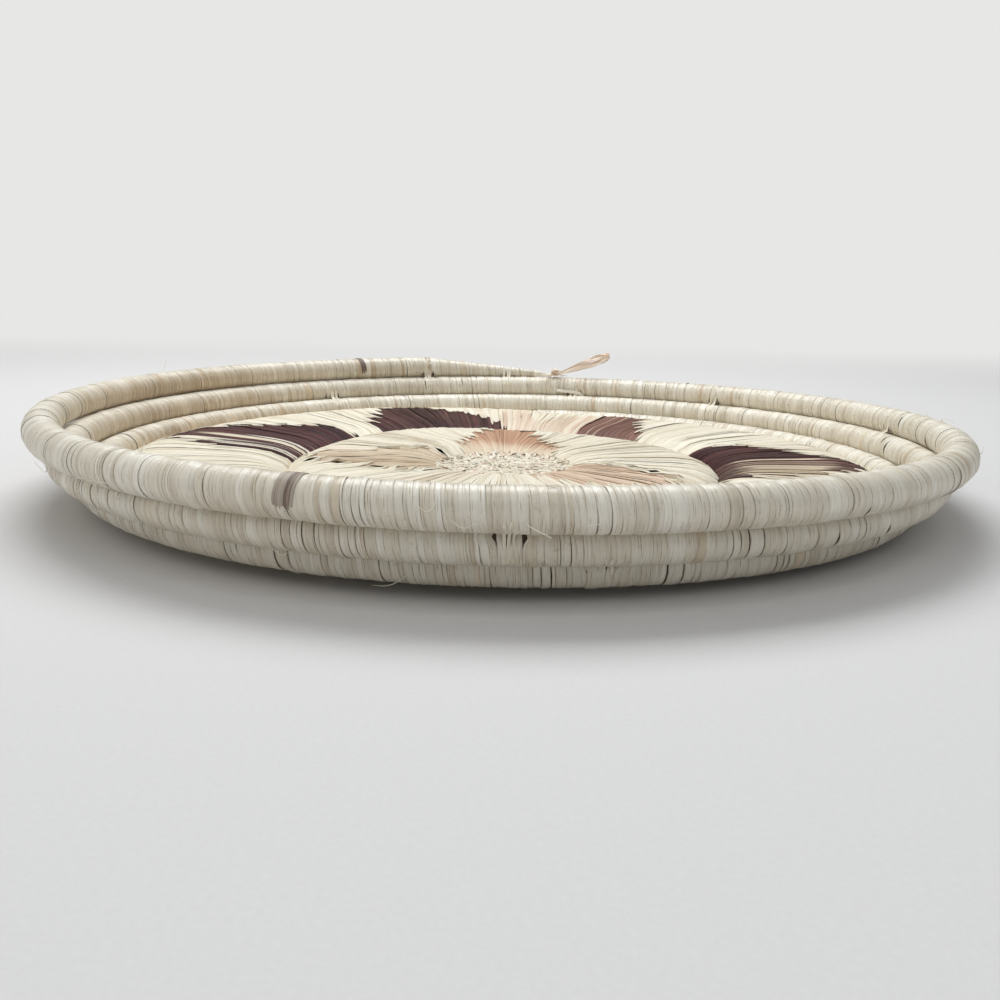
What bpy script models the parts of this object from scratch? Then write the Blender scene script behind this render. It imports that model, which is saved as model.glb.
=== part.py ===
"""A coiled basket plate: a sewn coil wall round a floor of padded, wrapped rings, with a hanging loop.

Metres, +Z up. The origin is on the plate's axis, on the surface that it stands on. Azimuths are in degrees,
counted counterclockwise from +X as seen from above; +Y is the side that carries the loop.
"""

import math

import bmesh
import bpy
from mathutils import Matrix, Vector

# Clearances
TOUCH_GAP = 0.0003
TURN_GAP = 0.0006

# The wall: one coil that falls and draws in from its end on the rim
PLATE_DIAMETER = 0.330
COIL_DIAMETER = 0.0106
WALL_TURNS = 3
END_AZIMUTH = 83.0
RIM_SLOPE = math.radians(69.0)
SLOPE_EASE = math.radians(13.0)
WALL_FOOT_RISE = 0.00025
WRAP_THICKNESS = 0.0011
TAPER_STEPS = 1.5
TIP_SHARE = 0.3
POINTS_PER_TURN = 24
START_FACE_GAP = 0.0005

# The floor: two wrapped rings round a start coil
START_RADIUS = 0.0223
SEAM_RADIUS = 0.0800
START_CREASE = 0.0050
SEAM_CREASE = 0.0060
WALL_CREASE = 0.0076
PAD_CROWN = 0.0044
CROWN_POWER = 6.0
PAD_WRAP = 0.0012
PAD_UNDERCUT = 0.0030
PAD_UNDERCUT_RISE = 0.0015
PAD_SPARE = 0.0030
PAD_TOP_STEPS = 8
RING_STEPS = 36
ARC_STEP = 10.0

# The wedges of the inner ring: azimuth and half width of the base, lean of the tip
WEDGES = {"back": (84.0, 38.0, 4.0), "left": (184.0, 34.0, -5.0), "right": (326.0, 40.0, -3.0)}
WEDGE_TIP_HALF = 4.5
WEDGE_TIP_INSET = 0.0140
WEDGE_STAIRS = 4

# The dark patches of the outer ring: azimuth and half width of the base, then of the tip
PATCHES = [
    (-2.5, 20.5, -7.5, 4.0),
    (56.5, 12.0, 63.5, 5.0),
    (108.5, 18.5, 112.5, 4.0),
    (164.0, 22.0, 162.5, 3.5),
    (228.5, 20.0, 228.5, 4.0),
    (292.5, 20.0, 292.5, 4.0),
]
PATCH_STAIRS = 4

# The start of the plate
START_CORD = 0.0056
START_CORD_GAP = 0.00065
START_TURNS = 2
START_CORD_RISE = 0.0003
KNOT_ROOM = 0.0007
KNOT_HEIGHT = 0.0066
KNOT_FOOT_SHARE = 0.81
KNOT_STEPS = 16

# Ties that show between neighbouring turns: azimuth, crease counted from the rim, side of the wall
TIES = [
    (105.0, 0, "dish"),
    (89.5, 0, "dish"),
    (76.0, 0, "dish"),
    (47.5, 0, "dish"),
    (6.0, 0, "dish"),
    (125.0, 1, "dish"),
    (270.5, 0, "outside"),
    (279.5, 1, "outside"),
]
TIE_WIDTH = 0.0030
TIE_THICKNESS = 0.0006
TIE_WRAP_ANGLE = math.radians(28.0)
TIE_SINK = 0.0010

# Strips laid round the rim coil: azimuth, width, start and end round the coil, from the outside over the top
CUFFS = {
    "end_lashing": (80.3, 0.0060, -20.0, 200.0),
    "brown_band_front": (252.5, 0.0046, -40.0, 210.0),
    "brown_band_back": (118.0, 0.0030, -40.0, 210.0),
}
CUFF_THICKNESS = 0.0007
CUFF_STEPS = 10

# The hanging loop and the knot that it swings on
LOOP_AZIMUTH = 80.3
LOOP_LENGTH = 0.0290
LOOP_EYE_RADIUS = 0.0046
LOOP_CORD = 0.0015
LOOP_RISE = 0.0092
LOOP_TWIST = 0.40
STEM_RADIUS = 0.0010
SPOOL_RADIUS = 0.0023
SPOOL_FOOT = 0.0005
SPOOL_HEAD = 0.0005
SPOOL_STEPS = 16
LOOP_ARC_POINTS = 8

# Colours, roughness
CREAM = ((0.72, 0.64, 0.50), 0.62)
PALE = ((0.76, 0.70, 0.58), 0.60)
RUST = ((0.48, 0.26, 0.17), 0.66)
TAN = ((0.56, 0.43, 0.29), 0.64)
DARK = ((0.055, 0.022, 0.028), 0.60)
BROWN = ((0.17, 0.10, 0.065), 0.62)
GRASS = ((0.45, 0.36, 0.20), 0.85)
STRAW = ((0.62, 0.42, 0.28), 0.60)

COIL_RADIUS = COIL_DIAMETER / 2
TURN_PITCH = COIL_DIAMETER + TURN_GAP
SLOPE_ARC = TURN_PITCH / (2 * math.sin(SLOPE_EASE / 2))
STEP = 1 / POINTS_PER_TURN
TAPER_TURNS = TAPER_STEPS * STEP
CHORD_SHARE = math.cos(math.pi / POINTS_PER_TURN)


def clear_scene():
    for thing in list(bpy.data.objects):
        bpy.data.objects.remove(thing, do_unlink=True)


def new_collection(name):
    collection = bpy.data.collections.new(name)
    bpy.context.scene.collection.children.link(collection)
    return collection


clear_scene()
PARTS = new_collection("coiled_basket_plate")
CUTTERS = new_collection("cutters")


def material(name, finish):
    colour, roughness = finish
    made = bpy.data.materials.new(name)
    made.use_nodes = True
    shader = made.node_tree.nodes["Principled BSDF"]
    shader.inputs["Base Color"].default_value = (*colour, 1.0)
    shader.inputs["Roughness"].default_value = roughness
    shader.inputs["Metallic"].default_value = 0.0
    return made


def add_object(name, data, collection, finish=None):
    made = bpy.data.objects.new(name, data)
    collection.objects.link(made)
    if finish is not None:
        made.data.materials.append(material(name + "_finish", finish))
    return made


def as_guide(thing):
    thing.hide_render = True
    thing.display_type = "WIRE"
    return thing


def as_mesh(thing, name, collection, finish=None):
    """The evaluated shape of a curve or of a mesh with modifiers, as a plain welded mesh."""
    bpy.context.view_layer.update()
    evaluated = thing.evaluated_get(bpy.context.evaluated_depsgraph_get())
    mesh = bpy.data.meshes.new_from_object(evaluated)
    weld = bmesh.new()
    weld.from_mesh(mesh)
    bmesh.ops.remove_doubles(weld, verts=weld.verts, dist=1e-6)
    weld.to_mesh(mesh)
    weld.free()
    mesh.name = name
    mesh.materials.clear()
    made = add_object(name, mesh, collection, finish)
    made.matrix_world = thing.matrix_world
    bpy.data.objects.remove(thing, do_unlink=True)
    return made


def smooth(thing, angle=40.0):
    thing.data.shade_smooth()
    thing.data.set_sharp_from_angle(angle=math.radians(angle))


def tube(name, points, radii, collection, finish=None, closed=False):
    """A round cord along points, with a radius at each of them."""
    curve = bpy.data.curves.new(name, "CURVE")
    curve.dimensions = "3D"
    curve.twist_mode = "Z_UP"
    curve.bevel_depth = max(radii)
    curve.bevel_resolution = 1
    curve.use_fill_caps = not closed
    spline = curve.splines.new("POLY")
    spline.points.add(len(points) - 1)
    for place, point, radius in zip(spline.points, points, radii):
        place.co = (*point, 1.0)
        place.radius = radius / max(radii)
    spline.use_cyclic_u = closed
    return add_object(name, curve, collection, finish)


def turned(name, profile, steps, collection, finish=None, closed=False):
    """A profile of (distance from the axis, height) turned once round the local Z axis."""
    mesh = bpy.data.meshes.new(name)
    corners = [(radius, 0.0, height) for radius, height in profile]
    edges = [(k, k + 1) for k in range(len(corners) - 1)]
    if closed:
        edges.append((len(corners) - 1, 0))
    mesh.from_pydata(corners, edges, [])
    made = add_object(name, mesh, collection, finish)
    screw = made.modifiers.new("turn", "SCREW")
    screw.axis = "Z"
    screw.steps = steps
    screw.render_steps = steps
    screw.use_merge_vertices = True
    screw.merge_threshold = 0.00001
    screw.use_smooth_shade = True
    return made


def boolean(thing, cutter, operation):
    cut = thing.modifiers.new(operation.lower(), "BOOLEAN")
    cut.operation = operation
    cut.solver = "EXACT"
    cut.object = cutter


def polar(radius, azimuth, height=0.0):
    angle = math.radians(azimuth)
    return Vector((radius * math.cos(angle), radius * math.sin(angle), height))


def print_least_gap(name, points, radii):
    """Prints the least space between turns of one cord, on its points and the middles of its runs."""
    places = []
    for k, (point, radius) in enumerate(zip(points, radii)):
        places.append((k, point, radius))
        if k + 1 < len(points):
            places.append((k + 0.5, (point + points[k + 1]) / 2, max(radius, radii[k + 1])))
    least = min(
        (a - b).length - r - s
        for i, a, r in places
        for j, b, s in places
        if j - i >= POINTS_PER_TURN // 2
    )
    print("least gap of", name, "to itself, mm:", round(1000 * least, 3))


# The wall


def wall_section(turn):
    """Distance from the axis and height of a full coil's centre, this many turns after the rim's end."""
    slope = RIM_SLOPE - SLOPE_EASE * turn
    radius = RIM_RADIUS - SLOPE_ARC * (math.sin(RIM_SLOPE) - math.sin(slope))
    height = RIM_HEIGHT - SLOPE_ARC * (math.cos(slope) - math.cos(RIM_SLOPE))
    return Vector((radius, height))


def wall_azimuth(turn):
    return END_AZIMUTH + 360.0 * turn


def coil_radius(turn):
    full = min(1.0, turn / TAPER_TURNS)
    return COIL_RADIUS * (TIP_SHARE + (1 - TIP_SHARE) * full)


def wall_centre(turn):
    """The coil's centre; where the end thins, it lies on the turn below."""
    below = wall_section(turn + 1)
    share = (COIL_RADIUS + TURN_GAP + coil_radius(turn)) / TURN_PITCH
    place = below.lerp(wall_section(turn), share)
    return polar(place.x, wall_azimuth(turn), place.y)


def wall_turns_list():
    """The turns at which the coil has a point: closer along the thinning end, then every step."""
    thinning = [k * STEP / 2 for k in range(4)]
    return thinning + [k * STEP for k in range(2, WALL_TURNS * POINTS_PER_TURN)]


def start_face_run():
    """The straight run that brings the coil square to the floor ring's step, where the wall starts."""
    place = wall_section(WALL_TURNS)
    along = polar(1.0, wall_azimuth(WALL_TURNS) - 90.0)
    face = polar(place.x, wall_azimuth(WALL_TURNS), place.y) + along * START_FACE_GAP
    return [face + along * COIL_DIAMETER, face]


RIM_RADIUS = (
    PLATE_DIAMETER / 2
    - COIL_RADIUS
    + SLOPE_ARC * (math.sin(RIM_SLOPE) - math.sin(RIM_SLOPE - SLOPE_EASE * TAPER_TURNS))
)
RIM_HEIGHT = (
    COIL_RADIUS
    + WALL_FOOT_RISE
    + SLOPE_ARC * (math.cos(RIM_SLOPE - SLOPE_EASE * WALL_TURNS) - math.cos(RIM_SLOPE))
)


def chord(turn):
    """The two of the coil's points between which a turn lies."""
    turns = wall_turns_list()
    after = next(k for k, other in enumerate(turns) if other > turn)
    return turns[after - 1], turns[after]


def chord_centre(turn):
    """The centre of the coil as modelled, on the straight run between two of its points."""
    before, after = chord(turn)
    return wall_centre(before).lerp(wall_centre(after), (turn - before) / (after - before))


def chord_frame(turn):
    """Local X outwards, local Y up and local Z along the coil, at its centre."""
    before, after = chord(turn)
    along = (wall_centre(before) - wall_centre(after)).normalized()
    up = (Vector((0.0, 0.0, 1.0)) - along * along.z).normalized()
    frame = Matrix((up.cross(along), up, along)).transposed().to_4x4()
    frame.translation = chord_centre(turn)
    return frame


def turn_at(azimuth, crease=0):
    return ((azimuth - END_AZIMUTH) % 360.0) / 360.0 + crease


def make_wall():
    turns = wall_turns_list()
    points = [wall_centre(turn) for turn in turns] + start_face_run()
    radii = [coil_radius(turn) for turn in turns] + [COIL_RADIUS] * 2
    print_least_gap("wall_coil", points, radii)
    wrap = as_mesh(tube("wall_wrap_curve", points, radii, CUTTERS), "wall_coil", PARTS, CREAM)

    first = next(k for k, turn in enumerate(turns) if turn > TAPER_TURNS)
    along = (points[-1] - points[-2]).normalized()
    bore_radius = COIL_RADIUS - WRAP_THICKNESS
    bore_points = points[first:] + [points[-1] + along * COIL_RADIUS]
    bore_curve = tube("wall_bore_curve", bore_points, [bore_radius] * len(bore_points), CUTTERS)
    bore = as_guide(as_mesh(bore_curve, "wall_bore", CUTTERS))
    boolean(wrap, bore, "DIFFERENCE")
    smooth(wrap)

    core_radius = bore_radius - TOUCH_GAP / math.cos(math.pi / 6)
    core_points = [points[first].lerp(points[first + 1], 0.02)] + points[first + 1 :]
    tube("wall_core", core_points, [core_radius] * len(core_points), PARTS, GRASS)


# The floor


def pad_edge(azimuth):
    """How far out the outer ring reaches beside the wall's lowest turn."""
    turn = WALL_TURNS - 1 + turn_at(azimuth)
    return (wall_section(turn).x - COIL_RADIUS - TOUCH_GAP) * CHORD_SHARE


def arc(radius, start, end):
    """Points from one azimuth to another at a distance from the axis, a value or a function of azimuth."""
    count = max(1, math.ceil(abs(end - start) / ARC_STEP))
    azimuths = [start + (end - start) * k / count for k in range(count + 1)]
    return [polar(radius(a) if callable(radius) else radius, a) for a in azimuths]


def outer_arc(start, end):
    """The outer ring's edge, with the step where the wall starts."""
    step = END_AZIMUTH
    while step <= start:
        step += 360.0
    if step > end:
        return arc(pad_edge, start, end)
    narrow = (wall_section(WALL_TURNS).x - COIL_RADIUS - TOUCH_GAP) * CHORD_SHARE
    points = arc(pad_edge, start, step)[:-1] + [polar(narrow, step)]
    return points + (arc(pad_edge, step, end) if step < end else [])


def stairs(inner, outer, first, last, count):
    """A stepped edge from the inner radius outwards: radial runs, each at the next azimuth."""
    points = []
    for k in range(count):
        azimuth = first + (last - first) * k / (count - 1)
        near = inner + (outer - inner) * k / count
        far = inner + (outer - inner) * (k + 1) / count
        points += [polar(near, azimuth), polar(far, azimuth)]
    return points


def inset(outline, distance):
    """A closed counterclockwise outline moved inwards by a distance."""
    corners = []
    for k, point in enumerate(outline):
        before = (point - outline[k - 1]).normalized()
        after = (outline[(k + 1) % len(outline)] - point).normalized()
        normal = Vector((-before.y - after.y, before.x + after.x, 0.0))
        normal /= max(0.3, 1 + before.dot(after))
        corners.append(point + normal * distance)
    return corners


def prism(name, outline):
    """A guide that holds everything above and below an outline."""
    curve = bpy.data.curves.new(name, "CURVE")
    curve.dimensions = "2D"
    curve.fill_mode = "BOTH"
    curve.extrude = SEAM_RADIUS / 4
    spline = curve.splines.new("POLY")
    spline.points.add(len(outline) - 1)
    for place, point in zip(spline.points, outline):
        place.co = (point.x, point.y, 0.0, 1.0)
    spline.use_cyclic_u = True
    return as_guide(as_mesh(add_object(name + "_curve", curve, CUTTERS), name, CUTTERS))


def pad_section(inner, outer, inner_crease, outer_crease, shrink):
    """The section of a padded ring, along its top outwards, down its outer side and back underneath."""
    section = []
    for k in range(PAD_TOP_STEPS + 1):
        share = (1 - math.cos(math.pi * k / PAD_TOP_STEPS)) / 2
        crown = PAD_CROWN * (1 - abs(2 * share - 1) ** CROWN_POWER)
        radius = inner + shrink + (outer - inner - 2 * shrink) * share
        section.append((radius, inner_crease + (outer_crease - inner_crease) * share + crown - shrink))
    foot = shrink / 2 + PAD_UNDERCUT
    return section + [
        (outer - shrink, PAD_UNDERCUT_RISE + shrink),
        (outer - foot, shrink),
        (inner + foot, shrink),
        (inner + shrink, PAD_UNDERCUT_RISE + shrink),
    ]


def ring_solid(name, ring, shrink, collection, finish=None):
    section = pad_section(*ring, shrink)
    return turned(name, section, RING_STEPS, collection, finish, closed=True)


def ring_shell(name, ring):
    """The layer of raffia round a ring's foundation, whole, before it is divided into pads."""
    shell = ring_solid(name + "_solid", ring, 0.0, CUTTERS)
    hollow = as_guide(ring_solid(name + "_hollow", ring, PAD_WRAP, CUTTERS))
    boolean(shell, hollow, "DIFFERENCE")
    return as_guide(as_mesh(shell, name, CUTTERS))


def pad(name, shell, outline, finish):
    """One stretch of a ring's raffia, cut from the whole layer along its seams."""
    made = add_object(name, shell.data.copy(), PARTS, finish)
    boolean(made, prism(name + "_outline", inset(outline, TOUCH_GAP / 2)), "INTERSECT")
    smooth(made)
    return made


def make_inner_ring():
    outer = SEAM_RADIUS - TOUCH_GAP
    ring = (START_RADIUS, outer, START_CREASE, SEAM_CREASE)
    shell = ring_shell("inner_shell", ring)
    inside = START_RADIUS - PAD_SPARE
    outside = outer + PAD_SPARE
    tip_radius = SEAM_RADIUS - WEDGE_TIP_INSET
    sides = {}
    for name, (centre, base_half, lean) in WEDGES.items():
        tip = centre + lean
        first, last = centre - base_half, centre + base_half
        low = stairs(inside, tip_radius, first, tip - WEDGE_TIP_HALF, WEDGE_STAIRS)
        high = stairs(inside, tip_radius, last, tip + WEDGE_TIP_HALF, WEDGE_STAIRS)
        sides[name] = (first, last, tip, low, high)
        base = arc(inside, first, last)[1:-1]
        pad("wedge_" + name, shell, low + high[::-1] + base[::-1], TAN if name == "left" else RUST)
    order = list(WEDGES)
    for k, name in enumerate(order):
        follower = order[(k + 1) % len(order)]
        first, last, tip, _, start = sides[name]
        next_first, _, next_tip, end, _ = sides[follower]
        turn = 360.0 if next_first < first else 0.0
        rim = [polar(tip_radius, tip)] + arc(outside, tip, next_tip + turn)
        rim.append(polar(tip_radius, next_tip))
        base = arc(inside, last, next_first + turn)[1:-1]
        pad(f"inner_petal_{k + 1}", shell, start + rim + end[::-1] + base[::-1], PALE)
    ring_solid("inner_ring_core", ring, PAD_WRAP + TOUCH_GAP, PARTS, GRASS)


def make_outer_ring():
    inner = SEAM_RADIUS
    widest = pad_edge(END_AZIMUTH) + PAD_SPARE
    ring = (inner, widest, SEAM_CREASE, WALL_CREASE)
    shell = ring_shell("outer_shell", ring)
    inside = inner - PAD_SPARE
    sides = []
    for centre, base_half, tip, tip_half in PATCHES:
        low = stairs(inside, pad_edge(tip - tip_half), centre - base_half, tip - tip_half, PATCH_STAIRS)
        high = stairs(inside, pad_edge(tip + tip_half), centre + base_half, tip + tip_half, PATCH_STAIRS)
        sides.append((low, high))
    for k, (centre, base_half, tip, tip_half) in enumerate(PATCHES):
        low, high = sides[k]
        top = outer_arc(tip - tip_half, tip + tip_half)[1:-1]
        base = arc(inside, centre - base_half, centre + base_half)[1:-1]
        pad(f"dark_patch_{k + 1}", shell, low + top + high[::-1] + base[::-1], DARK)
        follower = (k + 1) % len(PATCHES)
        next_centre, next_half, next_tip, next_tip_half = PATCHES[follower]
        turn = 360.0 if follower == 0 else 0.0
        top = outer_arc(tip + tip_half, next_tip - next_tip_half + turn)[1:-1]
        base = arc(inside, centre + base_half, next_centre - next_half + turn)[1:-1]
        outline = high + top + sides[follower][0][::-1] + base[::-1]
        pad(f"outer_petal_{k + 1}", shell, outline, CREAM)
    core = ring_solid("outer_core_solid", ring, PAD_WRAP + TOUCH_GAP, CUTTERS)
    core = as_mesh(core, "outer_ring_core", PARTS, GRASS)
    edge = outer_arc(END_AZIMUTH - 360.0, END_AZIMUTH)
    boolean(core, prism("outer_core_outline", inset(edge, TOUCH_GAP / 2)), "INTERSECT")
    smooth(core)


def make_start():
    radius = START_CORD / 2
    pitch = START_CORD + START_CORD_GAP
    outermost = START_RADIUS - TOUCH_GAP - radius
    points = []
    for k in range(START_TURNS * POINTS_PER_TURN + 1):
        turn = k / POINTS_PER_TURN
        points.append(polar(outermost - pitch * turn, 360.0 * turn, radius + START_CORD_RISE))
    radii = [radius] * len(points)
    print_least_gap("start_coil", points, radii)
    tube("start_coil", points, radii, PARTS, PALE)
    knot = outermost - pitch * START_TURNS - radius - KNOT_ROOM
    profile = [
        (0.0, KNOT_HEIGHT),
        (knot * 0.6, KNOT_HEIGHT - 0.0003),
        (knot, KNOT_HEIGHT * 0.75),
        (knot, KNOT_HEIGHT * 0.2),
        (knot * KNOT_FOOT_SHARE, 0.0),
        (0.0, 0.0),
    ]
    turned("start_knot", profile, KNOT_STEPS, PARTS, PALE)


# Strips on the wall


def strip(name, path, frame, width, thickness, finish):
    """A flat strip: a path in the section plane, drawn out along the coil and thickened both ways."""
    curve = bpy.data.curves.new(name, "CURVE")
    curve.dimensions = "2D"
    curve.fill_mode = "NONE"
    curve.extrude = width / 2
    spline = curve.splines.new("POLY")
    spline.points.add(len(path) - 1)
    for place, (x, y) in zip(spline.points, path):
        place.co = (x, y, 0.0, 1.0)
    made = add_object(name, curve, PARTS, finish)
    made.matrix_world = frame
    shell = made.modifiers.new("thickness", "SOLIDIFY")
    shell.thickness = thickness
    shell.offset = 0.0
    return made


def make_cuffs():
    for name, (azimuth, width, start, end) in CUFFS.items():
        reach = COIL_RADIUS + TOUCH_GAP + CUFF_THICKNESS / 2
        path = []
        for k in range(CUFF_STEPS + 1):
            angle = math.radians(start + (end - start) * k / CUFF_STEPS)
            path.append((reach * math.cos(angle), reach * math.sin(angle)))
        finish = CREAM if name == "end_lashing" else BROWN
        strip(name, path, chord_frame(turn_at(azimuth)), width, CUFF_THICKNESS, finish)


def make_ties():
    for k, (azimuth, crease, side) in enumerate(TIES):
        turn = turn_at(azimuth, crease)
        frame = chord_frame(turn)
        low = frame.inverted() @ chord_centre(turn + 1)
        low = Vector((low.x, low.y))
        up = -low.normalized()
        out = Vector((up.y, -up.x)) if side == "outside" else Vector((-up.y, up.x))
        gap = TOUCH_GAP + TIE_THICKNESS / 2
        high_reach = coil_radius(turn) + gap
        low_reach = COIL_RADIUS + gap
        tilt = math.asin((low_reach - high_reach) / low.length)
        over = out * math.cos(tilt) + up * math.sin(tilt)
        along = up * math.cos(tilt) - out * math.sin(tilt)
        hold = over * math.cos(TIE_WRAP_ANGLE)
        grip = along * math.sin(TIE_WRAP_ANGLE)
        high_top = over * high_reach
        low_top = low + over * low_reach
        path = [
            (hold + grip) * high_reach,
            high_top,
            (high_top + low_top) / 2 - over * TIE_SINK,
            low_top,
            low + (hold - grip) * low_reach,
        ]
        strip(f"tie_{k + 1}", path, frame, TIE_WIDTH, TIE_THICKNESS, PALE)


# The hanging loop


def loop_seat():
    """The foot of the loop's knot, on top of the lashing at the rim's end."""
    place = chord_centre(turn_at(LOOP_AZIMUTH))
    top = COIL_RADIUS + TOUCH_GAP + CUFF_THICKNESS + TOUCH_GAP
    return place + Vector((0.0, 0.0, top))


def make_loop():
    seat = loop_seat()
    waist = LOOP_CORD + 2 * TOUCH_GAP
    top = SPOOL_FOOT + waist
    profile = [
        (0.0, top + SPOOL_HEAD),
        (SPOOL_RADIUS * 0.7, top + SPOOL_HEAD),
        (SPOOL_RADIUS, top + SPOOL_HEAD / 2),
        (SPOOL_RADIUS, top),
        (STEM_RADIUS, top),
        (STEM_RADIUS, SPOOL_FOOT),
        (SPOOL_RADIUS, SPOOL_FOOT),
        (SPOOL_RADIUS, 0.0),
        (0.0, 0.0),
    ]
    knot = turned("loop_knot", profile, SPOOL_STEPS, PARTS, STRAW)
    knot.location = seat

    cord = LOOP_CORD / 2
    root = STEM_RADIUS + TOUCH_GAP + cord + 0.0001
    tip = LOOP_EYE_RADIUS
    reach = LOOP_LENGTH - tip - cord
    level = SPOOL_RADIUS + 2 * TOUCH_GAP + cord
    rise = LOOP_RISE / (LOOP_LENGTH - level)
    spread = math.degrees(math.asin((tip - root) / reach))
    outline = []
    for k in range(LOOP_ARC_POINTS + 1):
        angle = -90.0 - spread + (180.0 + 2 * spread) * k / LOOP_ARC_POINTS
        outline.append(polar(tip, angle) + Vector((reach, 0.0, 0.0)))
    sides = [polar(root, 90.0 + spread), polar(root, -90.0 - spread)]
    back = [
        polar(root, 90.0 + spread + (180.0 - 2 * spread) * k / LOOP_ARC_POINTS)
        for k in range(LOOP_ARC_POINTS + 1)
    ]
    upper = [outline[-1].lerp(sides[0], k / 3) for k in (1, 2)]
    lower = [sides[1].lerp(outline[0], k / 3) for k in (1, 2)]
    points = outline + upper + [sides[0].lerp(outline[-1], level / reach)] + back
    points += [sides[1].lerp(outline[0], level / reach)] + lower
    for point in points:
        twist = LOOP_TWIST * min(1.0, max(0.0, (point.x - level) / (reach - level)))
        point.z = rise * max(0.0, point.x - level) + twist * point.y
    loop = tube("hanging_loop", points, [cord] * len(points), PARTS, STRAW, closed=True)
    loop.location = seat + Vector((0.0, 0.0, SPOOL_FOOT + waist / 2))


make_wall()
make_inner_ring()
make_outer_ring()
make_start()
make_cuffs()
make_ties()
make_loop()
bpy.context.view_layer.update()
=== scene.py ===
"""Looks of the coiled basket plate: every raffia strip of its wall, floor, ties and hanging loop.

Metres, +Z up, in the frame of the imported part. Azimuths are in degrees, counterclockwise from +X. A turn
counts along the wall's coil from its end on the rim; section angles go from the outside over the top.
"""

import math

import bpy
import numpy as np
from mathutils import Matrix, Vector


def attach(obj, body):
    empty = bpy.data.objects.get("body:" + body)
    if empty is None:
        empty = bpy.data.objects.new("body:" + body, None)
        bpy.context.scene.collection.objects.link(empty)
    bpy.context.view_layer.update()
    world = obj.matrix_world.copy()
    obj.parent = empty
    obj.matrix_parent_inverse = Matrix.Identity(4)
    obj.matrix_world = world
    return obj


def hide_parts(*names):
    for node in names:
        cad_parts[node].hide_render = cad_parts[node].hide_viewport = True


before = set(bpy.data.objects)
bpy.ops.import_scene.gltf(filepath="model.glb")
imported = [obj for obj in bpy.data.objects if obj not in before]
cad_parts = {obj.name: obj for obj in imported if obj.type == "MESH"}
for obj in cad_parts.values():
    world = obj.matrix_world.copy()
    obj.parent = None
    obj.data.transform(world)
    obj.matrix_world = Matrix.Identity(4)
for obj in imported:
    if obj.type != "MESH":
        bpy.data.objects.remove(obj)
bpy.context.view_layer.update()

rng = np.random.default_rng(41)
MM = 0.001
CIRCLE = 2 * math.pi
UP = np.array([0.0, 0.0, 1.0])

# Sizes of the part that the strips follow
TURN_GAP = 0.0006
PLATE_DIAMETER = 0.330
COIL_RADIUS = 0.0053
WALL_TURNS = 3
END_AZIMUTH = 83.0
RIM_SLOPE = math.radians(69.0)
SLOPE_EASE = math.radians(13.0)
WALL_FOOT_RISE = 0.00025
TAPER_TURNS = 0.0625
TIP_SHARE = 0.3
START_RADIUS = 0.0223
SEAM_RADIUS = 0.0800
START_CREASE = 0.0050
SEAM_CREASE = 0.0060
WALL_CREASE = 0.0076
PAD_CROWN = 0.0044
START_CORD_RADIUS = 0.0028
START_CORD_PITCH = 0.00625
START_TURNS = 2
LOOP_SEAT = np.array([0.025923, 0.151853, 0.027399])
LOOP_RISE = 0.0092
LOOP_TWIST = 0.40

WRAP_RADIUS = COIL_RADIUS + 0.09 * MM
TURN_PITCH = 2 * COIL_RADIUS + TURN_GAP
SLOPE_ARC = TURN_PITCH / (2 * math.sin(SLOPE_EASE / 2))
RIM_RADIUS = (
    PLATE_DIAMETER / 2
    - COIL_RADIUS
    + SLOPE_ARC * (math.sin(RIM_SLOPE) - math.sin(RIM_SLOPE - SLOPE_EASE * TAPER_TURNS))
)
RIM_HEIGHT = (
    COIL_RADIUS
    + WALL_FOOT_RISE
    + SLOPE_ARC * (math.cos(RIM_SLOPE - SLOPE_EASE * WALL_TURNS) - math.cos(RIM_SLOPE))
)

# Sizes of the strips alone
SHARP_ANGLE = math.radians(38.0)
EDGE_ROUGHNESS = 0.22  # Share of a strip's thickness
WRAP_STEPS = 30
WRAP_REACH = math.radians(376)
UNDER_RADIUS = 4.80 * MM
WALL_STEM_RADIUS = 0.80 * MM
RING_STEM_RADIUS = 0.85 * MM
RING_STEM_SPACING = 1.5 * MM
STITCH_STEPS = 30
STITCH_THICKNESS = 0.24 * MM
CREASE_PINCH = 0.95  # Share of a stitch's width that is left at the creases
TOOTH_LENGTH = 3.2 * MM
BEYOND = 999.0  # A distance in mm past either ring, for the tips of coloured stretches
THIN_STRIP = 0.13 * MM
TIE_LIFT = 0.14 * MM
HAIR_RADIUS = 0.12 * MM
RAFFIA_STAIN = (0.42, 0.31, 0.20, 1.0)
# Colour of the painted shade along strip edges, where neighbouring strips meet
RAFFIA_EDGE_SHADE = (0.30, 0.22, 0.15, 1.0)
PALE_GREY = (0.80, 0.797, 0.79, 1.0)

# Materials


def new_node(tree, kind, inputs=None, **settings):
    made = tree.nodes.new(kind)
    for key, value in settings.items():
        setattr(made, key, value)
    for key, value in (inputs or {}).items():
        if isinstance(value, bpy.types.NodeSocket):
            tree.links.new(value, made.inputs[key])
        else:
            made.inputs[key].default_value = value
    return made


def maths(tree, operation, *values, clamp=False):
    inputs = dict(enumerate(values))
    return new_node(tree, "ShaderNodeMath", inputs, operation=operation, use_clamp=clamp).outputs[0]


def ramp(tree, factor, stops):
    """A colour ramp; each stop is its place and three colour values."""
    made = new_node(tree, "ShaderNodeValToRGB", {"Fac": factor})
    elements = made.color_ramp.elements
    while len(elements) < len(stops):
        elements.new(0.5)
    for element, (place, *colour) in zip(elements, stops):
        element.position = place
        element.color = (*colour, 1.0)
    return made.outputs["Color"]


def mix(tree, factor, first, second, blend="MIX"):
    inputs = {0: factor, 6: first, 7: second}
    return new_node(tree, "ShaderNodeMix", inputs, data_type="RGBA", blend_type=blend).outputs[2]


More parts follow.
